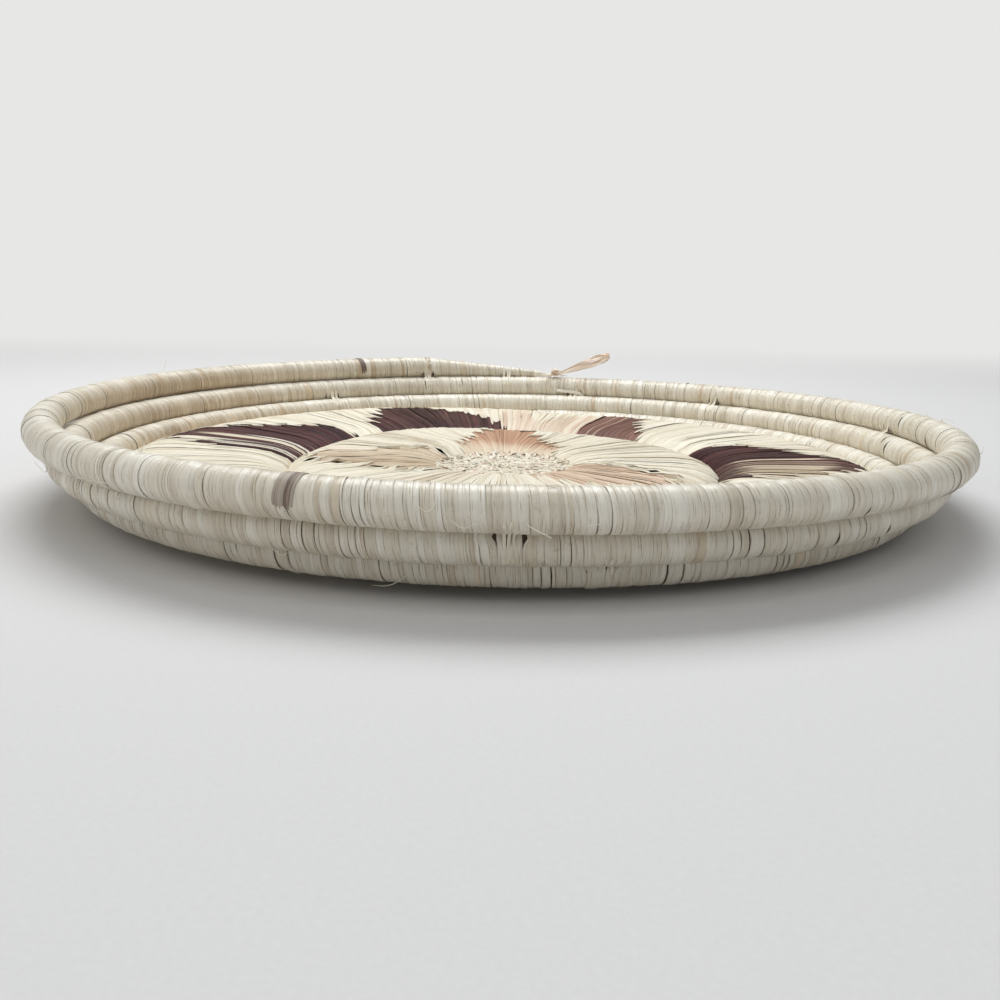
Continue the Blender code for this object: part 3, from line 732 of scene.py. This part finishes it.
def build_ring(ring_name, count, ring, stems, shapes, colours, petal_colour, holes, tooth_size, seed):
    """All stitches of one ring: coloured ones from its inner crease, pale ones over and beyond them."""
    inner, outer, inner_crease, outer_crease = ring
    gaps = rng.lognormal(0.0, 0.30, count)
    azimuths = (np.cumsum(gaps) - gaps / 2) / gaps.sum() * 360.0
    edges = outer(azimuths)
    ring = (inner, edges, inner_crease, outer_crease(azimuths))
    pitch = gaps / gaps.mean() * CIRCLE / count
    order = list(shapes)
    petals = [f"{ring_name.split('_')[0]}_petal_{k + 1}" for k in range(len(order))]
    pieces = {name: Strips() for name in order + petals}
    tips = np.array([tip for tip, _, _ in shapes.values()], float) % 360.0
    petal_of = np.zeros(count, int)
    for k, (start, end) in enumerate(zip(tips, np.roll(tips, -1))):
        petal_of[(azimuths - start) % 360.0 < (end - start) % 360.0] = k
    begin, coloured = coloured_ends(azimuths, shapes, inner, edges, tooth_size, seed)
    mask = coloured >= 0

    side = rng.normal(size=count) * 0.30 * MM * (1 - 0.65 * np.sin(np.radians(azimuths)) ** 2)
    bulge = rng.normal(size=count) * 0.11 * MM
    spread = rng.choice([1.20, 1.38, 1.06], size=(count, 1), p=[0.6, 0.30, 0.10])
    tone = np.clip(0.5 + 0.22 * rng.normal(size=count), 0.03, 0.98)
    least = 0.46 * MM * (pitch / pitch.mean())[:, None] ** 0.5

    def stitches(first, last, side, bulge):
        place, reach, angle, height = ring_paths(azimuths, first, last, ring, side, bulge, seed + 20)
        angle, narrow = open_holes(reach, angle, holes)
        crease = clamp(np.minimum(place + 0.05, 1.05 - place) / 0.10)
        half = np.maximum(reach * pitch[:, None] * 0.5, least) * spread
        half = half * (CREASE_PINCH + (1 - CREASE_PINCH) * crease) * narrow
        return place, reach, angle, height, half

    # Coloured stitches
    ends = np.where(mask, np.clip(begin + 0.06, 0.05, 1.0), 1.0)
    *data, half = stitches(-1.0, ends, side, bulge - 0.12 * MM)
    for k, (name, (_, low, high)) in enumerate(shapes.items()):
        first, last = low[0][0], high[-1][0]
        across = (azimuths - first) % 360.0 / (last - first)
        lay(pieces[name], coloured == k, data, half, tone, shape_hue(name, across[:, None], data[0]))

    # Pale stitches, which start as points that climb over the coloured ones
    place, reach, angle, height, half = stitches(np.where(mask, begin, -1.0), 2.0, side * 0.8, bulge)
    ahead = (reach - reach[:, :1]) / MM
    height = height + np.where(mask[:, None], np.exp(-ahead / 5.0) * 0.55 * MM, 0.0)
    half = half * np.where(mask[:, None], clamp(0.12 + ahead / 5.0), 1.0)
    hue = petal_hue(ring_name, azimuths, place)
    for k, name in enumerate(petals):
        lay(pieces[name], petal_of == k, (place, reach, angle, height), half, tone, hue)

    # Underneath, from crease to crease
    even = np.linspace(0.0, 1.0, 10)
    reach = (inner + 2.2 * MM) + (edges[:, None] - inner - 4.4 * MM) * even
    angle = np.radians(azimuths)[:, None] + side[:, None] * 2 / reach
    height = 0.44 * MM + rng.random((count, 1)) * 0.12 * MM + 0.9 * MM * np.abs(2 * even - 1) ** 8
    paths = polar(reach, angle, height)
    half = np.maximum(reach * pitch[:, None] * 0.5, 0.5 * MM) * spread
    for names, group in ((order, coloured), (petals, np.where(mask, -1, petal_of))):
        for k, name in enumerate(names):
            chosen = group == k
            pieces[name].add(paths[chosen], -UP, half[chosen], 0.22 * MM, tone[chosen])

    for name in petals:
        pieces[name].build(name + "_stitches", petal_colour, (name,))
    for name in order:
        pieces[name].build(name + "_stitches", colours[name], (name,))
    ring_stems(ring_name, inner, *stems, inner_crease)


def ring_stems(ring_name, inner, widest, edge, outer_crease, inner_crease):
    """Two layers of grass stems that run all round inside a ring."""
    stems = Strips()
    turn = lap(120)
    edge = edge(np.degrees(turn))
    number = int((widest - inner - 3 * MM) / RING_STEM_SPACING)
    for k in range(number):
        share = (k + 0.5) / number
        _, top = ring_section(share + 0 * turn, inner, edge, inner_crease, outer_crease)
        lower = 1.75 * MM + 0.5 * (top - 3.2 * MM) * (abs(2 * share - 1) ** 6)
        for layer, level in enumerate((top - 1.75 * MM, lower)):
            wave = smooth_noise(turn, 60 + 7 * k + layer, (3, 8), 0.25 * MM)
            distance = inner + 2.0 * MM + (edge - inner - 4.0 * MM) * share + wave
            cords(stems, polar(distance, turn, level)[None], RING_STEM_RADIUS, closed=True)
    stems.build(ring_name + "_stems", "grass", (ring_name + "_core",))


def shape_hue(name, across, place):
    """How far coloured stitches turn to the second colour: lighter near the roots, and streaks across a patch."""
    each = (len(place), 1)
    streaks = rng.random(each)
    if name == "wedge_back":
        hue = np.clip(1.25 - clamp(place) / (0.17 + 0.05 * streaks), 0.0, 0.9) + 0.10 * streaks
    elif name == "wedge_right":
        hue = 0.5 * streaks**2
    elif name == "wedge_left":
        # The left wedge turns darker tan towards its side nearest the front: painted shade
        hue = 0.34 * streaks - 0.30 * (across - 0.25)
    elif name == "dark_patch_1":
        middle = clamp((0.56 - across) / 0.08) * clamp((across - 0.05) / 0.06)
        lit = rng.choice([0.5, 0.72, 0.9], each, p=[0.3, 0.4, 0.3])
        hue = np.where(streaks < 0.62 * middle, lit, 0.03 * streaks)
        hue = hue * np.clip((place - 0.04 - 0.12 * rng.random(each)) / 0.08, 0.12, 1.0)
        hue = hue * np.clip((0.86 - place - 0.18 * rng.random(each)) / 0.08, 0.12, 1.0)
    elif name == "dark_patch_2":
        hue = 0.08 * streaks + 0.4 * (streaks > 0.88)
    elif name == "dark_patch_4":
        along = clamp(place)
        off = (across - 0.67 - 0.15 * along) / (0.14 - 0.09 * along)
        low_off = (across - 0.90) / 0.045 + 4.0 * clamp(along - 0.5)
        bright = clamp(2.4 - np.abs(off) * 2.4) + clamp(2.4 - np.abs(low_off) * 2.4)
        hue = clamp(bright) * (streaks < 0.80) * rng.uniform(0.75, 1.0, each)
    else:
        hue = 0.05 * streaks
    return np.broadcast_to(clamp(hue), place.shape)


def petal_hue(ring_name, azimuths, place):
    """Tan among the cream, as whole stitches or faded lengths of them."""
    count = len(azimuths)
    hue = 0.05 + 0.06 * rng.random(count) + (rng.random(count) < 0.06) * 0.35
    hue = (hue + clamp(smooth_noise(np.radians(azimuths), 31, (5, 9), 0.12)))[:, None]
    if ring_name == "outer_ring":
        tan_azimuths = (66, 67.5, 71, 75, 79, 82.5, 84, 90, 91)
        reach = np.interp(azimuths, tan_azimuths, (0, 0.95, 0.85, 0.68, 0.42, 0.40, 0.9, 0.95, 0))
        reach = (reach * rng.uniform(0.7, 1.1, count))[:, None]
        lit = np.where(rng.random(count) < 0.82, rng.uniform(0.45, 1.0, count), 0.15)
        hue = np.maximum(hue, lit[:, None] * clamp((reach - place) / 0.10))
    return np.broadcast_to(hue, place.shape)


def build_floor():
    seam = SEAM_RADIUS - 0.2 * MM
    ring = (START_RADIUS - 0.3 * MM, lambda azimuth: seam + 0 * azimuth, START_CREASE, lambda _: SEAM_CREASE)
    stems = (SEAM_RADIUS, ring[1], SEAM_CREASE)
    colours = {"wedge_back": "rust", "wedge_left": "tan", "wedge_right": "pink"}
    build_ring("inner_ring", 350, ring, stems, WEDGE_SHAPES, colours, "pale", INNER_HOLES, 5.2, 100)
    ring = (SEAM_RADIUS, wall_edge, SEAM_CREASE, wall_crease)
    stems = (0.138, stem_edge, WALL_CREASE)
    colours = dict.fromkeys(PATCH_SHAPES, "dark")
    colours.update(dark_patch_2="reddish", dark_patch_4="streaked")
    build_ring("outer_ring", 440, ring, stems, PATCH_SHAPES, colours, "petal", OUTER_HOLES, 2.7, 200)


# The start

# Rows of short stitches round the middle: distance, number and longest stitch
START_ROWS = [(3.5, 50, 5.5), (8.0, 120, 7.0), (13.2, 190, 7.5), (18.0, 260, 7.0), (21.8, 380, 5.4)]


def build_start():
    coil = Strips()
    outermost = START_RADIUS - 0.3 * MM - START_CORD_RADIUS
    turns = []
    turn = 0.0
    while turn < START_TURNS:
        radius = outermost - START_CORD_PITCH * turn
        turns.append(turn)
        turn += rng.uniform(0.75, 1.35) * MM / (CIRCLE * max(radius, 3 * MM))
    count = len(turns)
    angle = lap(14)[None, :]
    place = np.array(turns)[:, None] + 0.012 * np.sin(angle) + rng.normal(size=(count, 1)) * 0.002
    reach = outermost - START_CORD_PITCH * place
    radius = 2.72 * MM + rng.normal(size=(count, 1)) * 0.12 * MM
    out = polar(1.0, CIRCLE * place, 0.0)
    facing = out * np.cos(angle)[..., None] + UP * np.sin(angle)[..., None]
    paths = out * reach[..., None] + UP * (START_CORD_RADIUS + 0.6 * MM) + facing * radius[..., None]
    coil.add(paths, facing, 0.62 * MM, 0.22 * MM, 0.35 + 0.5 * rng.random(count), 0.15, closed=True)

    # Short stitches across each turn of the small coil, curling a little, with their ends in the creases
    even = np.linspace(0.0, 1.0, 14)[None, :]
    for distance, count, longest in START_ROWS:
        azimuth = (np.arange(count) + rng.normal(size=count) * 0.8) / count * CIRCLE
        length = longest * rng.uniform(0.72, 1.12, count) * MM
        middle = (distance + rng.normal(size=count) * 1.0) * MM
        reach = np.maximum(0.4 * MM, middle[:, None] + length[:, None] * (even - 0.5))
        curl = rng.normal(size=(count, 1)) * 1.5 * MM
        twist = rng.normal(size=(count, 1)) * 0.9 * MM
        side = curl * np.sin(math.pi * even) + twist * np.sin(CIRCLE * even)
        angle = azimuth[:, None] + side / np.maximum(reach, 3 * MM)
        ground = np.interp(reach / MM, (0, 16, 20, 22.5, 25, 28), (6.3, 6.2, 5.9, 6.2, 7.8, 8.8)) * MM
        arch = rng.uniform(0.05, 0.45, (count, 1)) * MM * np.sin(math.pi * even)
        dive = 0.9 * MM * np.abs(2 * even - 1) ** 4
        height = ground + arch - dive + rng.random((count, 1)) * 0.30 * MM
        lean = 0.16 * rng.normal(size=(count, 1, 2))
        facing = stack(lean[..., 0], lean[..., 1], np.ones_like(reach))
        taper = 0.35 + 0.65 * np.sin(math.pi * np.clip(even, 0.10, 0.90))
        half = rng.uniform(0.34, 0.68, (count, 1)) * MM * taper
        # Some stitches turn pink-tan, partly their own colour and partly painted shade for the dark between stitches
        hue = 0.10 + 0.60 * (rng.random(count) < 0.28)
        coil.add(polar(reach, angle, height), facing, half, THIN_STRIP, 0.35 + 0.5 * rng.random(count), hue)

    # A few curls that stand up
    count = 70
    azimuth = rng.random(count) * CIRCLE
    near = rng.uniform(3, 21, count) * MM
    even = np.linspace(0.0, 1.0, 12)[None, :]
    sweep = rng.uniform(2.2, 5.0, (count, 1)) * even + rng.random((count, 1)) * 6
    size = rng.uniform(0.7, 1.6, (count, 1)) * MM
    reach = near[:, None] + size * np.cos(sweep)
    angle = azimuth[:, None] + size * np.sin(sweep) / reach
    height = np.interp(reach / MM, (0, 17, 21, 24), (6.8, 6.7, 6.4, 7.4)) * MM
    height = height + 0.25 * MM * np.sin(math.pi * even)
    cords(coil, polar(reach, angle, height), 0.13 * MM, 0.7 + 0.3 * rng.random(count), 0.1)
    coil.build("start_coil_stitches", "pale", ("start_coil",))

    # The knot: windings one over another, then strips across its top
    knot = Strips()
    angle = lap(18)[None, :]
    for k in range(9):
        radius = 3.0 * MM * math.sqrt(max(0.12, 1 - (max(0, k - 5) / 4.2) ** 2))
        tilt = 0.25 * MM * np.clip(rng.normal(), -1.2, 1.2)
        path = polar(radius, angle, (0.95 + 0.62 * k) * MM + tilt * np.cos(angle + k))
        knot.add(path, polar(1.0, angle, 0.25 + 0.12 * k), 0.55 * MM, 0.28 * MM, [0.55], 0.1, closed=True)
    even = np.linspace(-1, 1, 12)[None, :]
    for k in range(7):
        turned = math.pi * k / 7 + rng.normal() * 0.1
        path = polar(even * 2.7 * MM, turned, 6.35 * MM - 1.2 * MM * even**2 + 0.08 * MM * k)
        knot.add(path, UP, 0.55 * MM, 0.22 * MM, [0.7], 0.1)
    knot.build("start_knot_strips", "pale", ("start_knot",))


# Ties, lashing and bands on the wall


def coil_cuff(strips, azimuth, width, start, end, count, lift, slant, tone, hues):
    """Strips laid side by side round the rim coil, from one section angle to another."""
    even = np.linspace(0.0, 1.0, 24)
    tuck = tucked(even, 0.10)
    for k in range(count):
        offset = (k - (count - 1) / 2) * width / count
        angle = np.radians(start + (end - start) * even + rng.normal() * 4)
        run = run_at(turn_at(azimuth)) + offset + slant * (even - 0.5) + 0.12 * MM * np.sin(5 * even + k)
        turn = turn_of(run)
        radius = WRAP_RADIUS * thinning(turn) + lift + 0.03 * MM * rng.normal()
        paths, facing = around(turn, angle, radius - 0.35 * MM * (1 - tuck))
        half = width / count * 0.56 * (0.35 + 0.65 * tuck) * (1 + 0.06 * np.sin(9 * even + 2 * k))
        own_tone = np.clip(tone + 0.2 * rng.normal(), 0, 1)
        strips.add(paths[None], facing[None], half[None], THIN_STRIP, [own_tone], [hues[k % len(hues)]])


def build_bands():
    lashing = Strips()
    coil_cuff(lashing, 80.3, 6.2 * MM, -60, 245, 4, 0.22 * MM, 0.8 * MM, 0.6, (0.2, 0.05))
    # Strips that come out of the rim's tapered end and run to the loop's knot
    end = wall_place(0.0)
    inside = wall_place(0.016)
    even = np.linspace(0.0, 1.0, 18)
    for k in range(11):
        turned = CIRCLE * k / 11 + rng.normal() * 0.2
        cos, sin = math.cos(turned), math.sin(turned)
        lobe = np.array([0.25 * cos, 0.9 * cos, 0.9 * sin]) * MM
        goal = LOOP_SEAT + np.array([rng.uniform(-2.2, 0.0), 1.4 * cos, 0.15 + 0.3 * sin]) * MM
        between = end * 0.55 + LOOP_SEAT * 0.45 + lobe * 0.9
        corners = np.array([inside + lobe * 0.6, end + lobe * 1.15, between, goal])
        places = stack(*(np.interp(even, (0, 0.5, 0.75, 1.0), values) for values in corners.T))
        places = (places + np.roll(places, 1, 0) + np.roll(places, -1, 0))[1:-1] / 3
        half = rng.uniform(0.35, 0.62) * MM * np.interp(even[1:-1], (0, 0.9, 1.0), (1, 1, 0.4))
        tone = [rng.uniform(0.35, 0.8)]
        lashing.add(places[None], np.array([0.0, cos, sin]), half[None], 0.12 * MM, tone, [0.2])
    coil_cuff(lashing, 84.6, 1.6 * MM, -30, 215, 2, 0.10 * MM, 0.5 * MM, 0.5, (0.2, 0.3))
    lashing.build("end_lashing_strips", "cream", ("end_lashing",))

    front_hues = (0.18, 0.02, 0.1, 0.22, 0.05, 0.0, 0.25)
    for name, *cuff in (
        ("brown_band_front", 252.5, 5.2 * MM, -28, 205, 7, 0.16 * MM, 0.7 * MM, 0.50, front_hues),
        ("brown_band_back", 118.0, 2.6 * MM, -30, 205, 3, 0.16 * MM, -2.2 * MM, 0.35, (0.0, 0.1, 0.0)),
    ):
        band = Strips()
        coil_cuff(band, *cuff)
        band.build(name + "_strips", "brown", (name,))


def tie_path(wrap, reach, low, over, upward):
    """A tie across the coil: from the upper turn over the crease and onto the lower turn."""
    low_reach = WRAP_RADIUS + TIE_LIFT
    angles = np.linspace(wrap, 0.0, 5)[:, None]
    top = (over * np.cos(angles) + upward * np.sin(angles)) * reach
    foot = low + (over * np.cos(angles) - upward * np.sin(angles))[::-1] * low_reach
    middle = low / 2 + over * (low_reach - 2.3 * MM)
    ease = [point * 0.35 + middle * 0.65 + over * 0.12 * MM for point in (top[-1], foot[0])]
    return np.array([*top, ease[0], middle, ease[1], *foot])


def build_ties():
    for k, (azimuth, crease, side) in enumerate(TIE_PLACES):
        strips = Strips()
        for n in (-1, 0, 1):
            shift = n * rng.uniform(0.9, 1.7) * MM + rng.normal() * 0.25 * MM
            turn = turn_of(run_at(turn_at(azimuth, crease)) + shift)
            centre, out, up, along = wall_frame(turn)
            below = wall_place(turn + 1) - centre
            low = np.array([below @ out, below @ up])
            upward = -low / np.linalg.norm(low)
            over = np.array([upward[1], -upward[0]]) * (1 if side == "outside" else -1)
            reach = WRAP_RADIUS * thinning(turn) + TIE_LIFT
            path = tie_path(math.radians(rng.uniform(9, 24)), reach, low, over, upward)
            even = np.linspace(-0.5, 0.5, len(path))[:, None]
            slant = rng.normal() * 0.9 * MM
            places = centre + path[:, :1] * out + path[:, 1:] * up + along * slant * even
            tuck = np.clip((0.5 - np.abs(even[:, 0])) / 0.1, 0.35, 1.0)
            half = rng.uniform(0.24, 0.52) * MM * tuck
            facing = over[0] * out + over[1] * up
            strips.add(places[None], facing, half[None], THIN_STRIP, [rng.uniform(0.35, 0.9)], 0.12)
        strips.build(f"tie_{k + 1}_strips", "pale", (f"tie_{k + 1}",))


# The hanging loop

# Windings of the knot: height and radius
KNOT_WINDINGS = [(0.25, 1.95), (0.8, 1.0), (1.4, 0.95), (2.0, 0.95), (2.75, 1.85), (2.95, 1.1)]
# Strips of the loop: share of the tip's width, lift and share of the strip's width
LOOP_STRIPS = [(1.0, 0.0, 1.0), (0.84, 0.45, 0.95), (0.93, -0.45, 0.85), (0.66, 0.1, 0.8)]


def build_knot():
    """Windings of a small overhand knot, strips across it, and loose ends."""
    knot = Strips()
    angle = lap(20)[None, :]
    for k, (height, radius) in enumerate(KNOT_WINDINGS):
        lobe = radius * MM * (1 + 0.10 * np.sin(2 * angle + k))
        path = LOOP_SEAT + polar(lobe, angle, height * MM + 0.16 * MM * np.sin(angle + k))
        knot.add(path, polar(1.0, angle, 0.25 * (k - 3)), 0.40 * MM, 0.20 * MM, [0.5], 0.25, closed=True)
    # Strips across it, which dive into the lashing
    even = np.linspace(-1, 1, 22)[None, :]
    drop = np.interp(np.abs(even), (0, 0.55, 0.85, 1.0), (0, 0.15, 0.45, 0.62)) * MM
    for k in range(9):
        turned = math.pi * (k + 0.3 * rng.normal()) / 9
        bow = rng.normal() * 0.35 * MM * (1 - even**2)
        path = LOOP_SEAT + polar(even * 2.25 * MM, turned, (3.1 + 0.03 * k) * MM - drop)
        path = path + polar(bow, turned + math.pi / 2, 0.0)
        facing = UP + 0.4 * polar(even, turned, 0.0)
        knot.add(path, facing, 0.42 * MM, 0.14 * MM, [0.35 + 0.5 * rng.random()], 0.25)
    # Loose ends that lie from the knot along the coil
    even = np.linspace(0, 1, 12)[None, :]
    for k in range(8):
        turned = math.radians(rng.choice([-170, -10, 185, 5]) + rng.normal() * 22)
        line = (1.6 + rng.uniform(2.5, 6.0) * even) * MM
        x = line * math.cos(turned)
        y = line * math.sin(turned) + 0.5 * MM * np.sin(3 * even + k)
        level = np.interp(even, (0, 0.4, 1.0), (0.9, 0.35, 0.1)) * MM - 0.09 * y**2 / MM
        level = level + 0.1 * MM * rng.random()
        half = rng.uniform(0.2, 0.5) * MM * (1 - 0.6 * even)
        knot.add(LOOP_SEAT + stack(x, y, level), UP, half, 0.12 * MM, [0.4 + 0.5 * rng.random()], 0.3)
    knot.build("loop_knot_strips", "straw", ("loop_knot",))


def build_loop():
    loop = Strips()
    root = 2.1 * MM
    root_half = 1.85 * MM
    reach = 23.65 * MM
    tip = 4.6 * MM
    for k, (size, lift, wide) in enumerate(LOOP_STRIPS):
        t = lap(56)
        length = reach + tip * size - 1.2 * MM * (k % 2)
        x = root * -0.8 + (length + root * 0.8) * (1 - np.cos(t)) / 2
        swell = clamp((x + root) / (reach + root))
        y = np.sin(t) * (root_half + (tip * size - root_half) * swell**1.4)
        y = y + 0.30 * MM * np.sin(3 * t + k) * swell
        rise = LOOP_RISE * clamp((x - 3.65 * MM) / (25.35 * MM))
        twist = LOOP_TWIST * clamp((x - 3.6 * MM) / (20.0 * MM))
        path = stack(x, y, 1.55 * MM + rise + lift * MM * swell + twist * y)
        facing = unit((path - np.array([reach * 0.5, 0.0, 0.0])) * (1 - UP))
        turned = (0.2 + 0.4 * np.sin(t * 2 + 2 * k))[:, None]
        facing = facing * np.cos(turned) + UP * np.sin(turned)
        half = (1.02 + 0.14 * np.sin(3 * t + k)) * MM * wide
        half = half * np.interp(swell, (0, 0.25, 0.5), (0.62, 0.72, 1.0))
        colour = ([0.5 + 0.12 * k], [0.15 + 0.12 * k])
        loop.add(LOOP_SEAT + path[None], facing[None], half[None], 0.12 * MM, *colour, closed=True)
    loop.build("hanging_loop_strips", "straw", ("hanging_loop",), body="loop")


# Loose hairs

# Turn and section angle at which a hair starts
HAIR_PLACES = [
    (1.394, 50), (1.398, 45), (1.405, 44), (1.41, 39), (0.412, -34), (0.416, -28), (0.409, -40), (0.405, -36),
    (0.505, 20), (0.507, 5), (2.451, 39), (1.462, -27), (2.453, 66), (0.985, 80), (0.78, 60), (0.70, 20), (0.76, 45),
]


def build_hairs():
    hairs = Strips()
    even = np.linspace(0.0, 1.0, 10)[:, None]
    thinner = 1 - 0.6 * even.T
    for turn, angle in HAIR_PLACES + [(rng.uniform(0.05, 2.9), rng.uniform(-35, 125)) for _ in range(22)]:
        start, facing = around(turn, math.radians(angle), 5.5 * MM)
        along = wall_frame(turn)[3]
        length = rng.uniform(3.0, 9.0) * MM
        drift = unit(along * rng.choice([-1, 1]) + facing * rng.uniform(0.15, 0.5) + rng.normal(size=3) * 0.3)
        curl = np.cross(drift, facing) * rng.normal() * 0.35
        path = start + length * (drift * even + curl * np.sin(math.pi * even) + facing * 0.25 * even**2)
        path[:, 2] = np.maximum(path[:, 2], 0.4 * MM)
        cords(hairs, path[None], HAIR_RADIUS * thinner, [0.9])
    # Frayed ends round the loop's knot
    for _ in range(9):
        turned = math.radians(rng.choice([200, 150, 30, 180, 215]) + rng.normal() * 25)
        away = np.array([math.cos(turned), 0.5 * math.sin(turned), rng.uniform(-0.2, 0.05)])
        length = rng.uniform(2.5, 6.0) * MM
        start = np.array([rng.uniform(-6.0, 1.0), rng.uniform(-2.4, -1.2), rng.uniform(0.1, 0.6)]) * MM
        droop = np.array([0, -0.6, -0.2]) * rng.random() * even**2
        path = LOOP_SEAT + start + length * (away * even + droop)
        cords(hairs, path[None], 0.11 * MM * thinner, [0.9])
    # A loose strip that lies along the crease beside a tie, and turns down over it
    turns = (np.array([74.2, 74.3, 74.4, 74.9, 75.8, 77.0, 78.2, 79.0, 79.6]) - END_AZIMUTH) / 360.0 + 1.0
    angles = np.radians([258, 236, 208, 196, 192, 189, 187, 186, 185])
    lifts = np.array([0.6, 1.0, 1.2, 1.3, 1.3, 1.3, 1.2, 0.9, 0.4]) * MM
    path, facing = around(turns, angles, WRAP_RADIUS + lifts)
    hairs.add(path[None], facing[None] + 0.5 * UP, 0.75 * MM, THIN_STRIP, [0.98], [0.0])
    hairs.build("loose_hairs", "pale")


build_wall()
build_floor()
build_start()
build_bands()
build_ties()
build_knot()
build_loop()
build_hairs()

# Floor, backdrop, camera and lights


def eased(tree, value, low, high):
    inputs = {"Value": value, "From Min": low, "From Max": high}
    return new_node(tree, "ShaderNodeMapRange", inputs, interpolation_type="SMOOTHERSTEP").outputs["Result"]


def build_stage():
    """A sheet of paper that lies under the plate and rises in a curve behind it."""
    half_width, front, bend_start, bend_radius, top = 4.0, -3.0, 2.2, 0.9, 4.0
    profile = [(front, 0.0), (bend_start, 0.0)]
    for k in range(1, 9):
        angle = math.pi / 2 * k / 8
        profile.append((bend_start + bend_radius * math.sin(angle), bend_radius * (1 - math.cos(angle))))
    profile.append((bend_start + bend_radius, top))
    points = [(x, y, z) for y, z in profile for x in (-half_width, half_width)]
    faces = [(2 * k, 2 * k + 1, 2 * k + 3, 2 * k + 2) for k in range(len(profile) - 1)]
    mesh = bpy.data.meshes.new("studio_floor")
    mesh.from_pydata(points, [], faces)
    mesh.shade_smooth()
    made = bpy.data.materials.new("studio_paper")
    made.use_nodes = True
    tree = made.node_tree
    shader = tree.nodes["Principled BSDF"]
    spot = new_node(tree, "ShaderNodeTexCoord").outputs["Object"]
    grain = noise(tree, spot, (900.0, 900.0, 900.0), 2.0)
    cloud = noise(tree, spot, (1.3, 1.3, 1.3), 2.0)
    tone = maths(tree, "MULTIPLY_ADD", cloud, 0.5, maths(tree, "MULTIPLY", grain, 0.5))
    colour = ramp(tree, tone, [(0.2, 0.60, 0.583, 0.565), (0.8, 0.66, 0.643, 0.625)])
    tree.links.new(colour, shader.inputs["Base Color"])
    shader.inputs["Roughness"].default_value = 0.85
    # Far from the plate the camera sees the paper as an even pale grey
    behind = eased(tree, new_node(tree, "ShaderNodeSeparateXYZ", {0: spot}).outputs["Y"], 0.22, 0.95)
    reach = new_node(tree, "ShaderNodeVectorMath", {0: spot}, operation="LENGTH").outputs["Value"]
    far = maths(tree, "MAXIMUM", behind, eased(tree, reach, 0.9, 2.2))
    seen = new_node(tree, "ShaderNodeLightPath").outputs["Is Camera Ray"]
    glow = new_node(tree, "ShaderNodeEmission", {"Color": PALE_GREY, "Strength": 1.0})
    factor = maths(tree, "MULTIPLY", far, seen)
    both = new_node(tree, "ShaderNodeMixShader", {0: factor, 1: shader.outputs[0], 2: glow.outputs[0]})
    tree.links.new(both.outputs[0], tree.nodes["Material Output"].inputs["Surface"])
    mesh.materials.append(made)
    floor = bpy.data.objects.new("studio_floor", mesh)
    bpy.context.scene.collection.objects.link(floor)


def area_light(name, place, size, power, colour):
    """A rectangular light that faces the plate's middle."""
    light = bpy.data.lights.new(name, "AREA")
    light.shape = "RECTANGLE"
    light.size, light.size_y = size
    light.energy = power
    light.color = colour
    made = bpy.data.objects.new(name, light)
    made.location = place
    made.rotation_euler = (-Vector(place)).to_track_quat("-Z", "Y").to_euler()
    bpy.context.scene.collection.objects.link(made)


def build_camera():
    pitch, roll, yaw = math.radians(12.2542), math.radians(1.0004), math.radians(-0.1649)
    ahead = Vector((math.sin(yaw) * math.cos(pitch), math.cos(yaw) * math.cos(pitch), -math.sin(pitch)))
    right = Vector((math.cos(yaw), -math.sin(yaw), 0.0))
    up = right.cross(ahead)
    right, up = right * math.cos(roll) + up * math.sin(roll), up * math.cos(roll) - right * math.sin(roll)
    data = bpy.data.cameras.new("camera")
    data.lens = 36.0
    data.sensor_width = 36.0
    data.clip_start = 0.01
    camera = bpy.data.objects.new("camera", data)
    camera.matrix_world = Matrix((right, up, -ahead)).transposed().to_4x4()
    camera.matrix_world.translation = Vector((0.0, -0.373317, 0.074279))
    bpy.context.scene.collection.objects.link(camera)
    bpy.context.scene.camera = camera


def build_world():
    world = bpy.data.worlds.new("studio")
    world.use_nodes = True
    tree = world.node_tree
    sky = tree.nodes["Background"]
    sky.inputs["Color"].default_value = (0.90, 0.94, 1.0, 1.0)
    sky.inputs["Strength"].default_value = 0.40
    # Where the camera looks past the floor, it sees the same pale grey as the far paper
    seen = new_node(tree, "ShaderNodeLightPath").outputs["Is Camera Ray"]
    pale = new_node(tree, "ShaderNodeBackground", {"Color": PALE_GREY, "Strength": 1.0})
    both = new_node(tree, "ShaderNodeMixShader", {0: seen, 1: sky.outputs[0], 2: pale.outputs[0]})
    tree.links.new(both.outputs[0], tree.nodes["World Output"].inputs["Surface"])
    bpy.context.scene.world = world


build_stage()
area_light("key", (-0.10, 0.42, 0.95), (0.9, 0.6), 10.5, (0.95, 0.975, 1.0))
area_light("front_fill", (0.1, -0.80, 1.15), (1.7, 0.7), 4.2, (0.93, 0.97, 1.0))
area_light("left_fill", (-1.3, -0.2, 0.6), (1.0, 1.0), 3.0, (1.0, 0.96, 0.90))
build_camera()
build_world()
bpy.context.scene.view_settings.view_transform = "Standard"
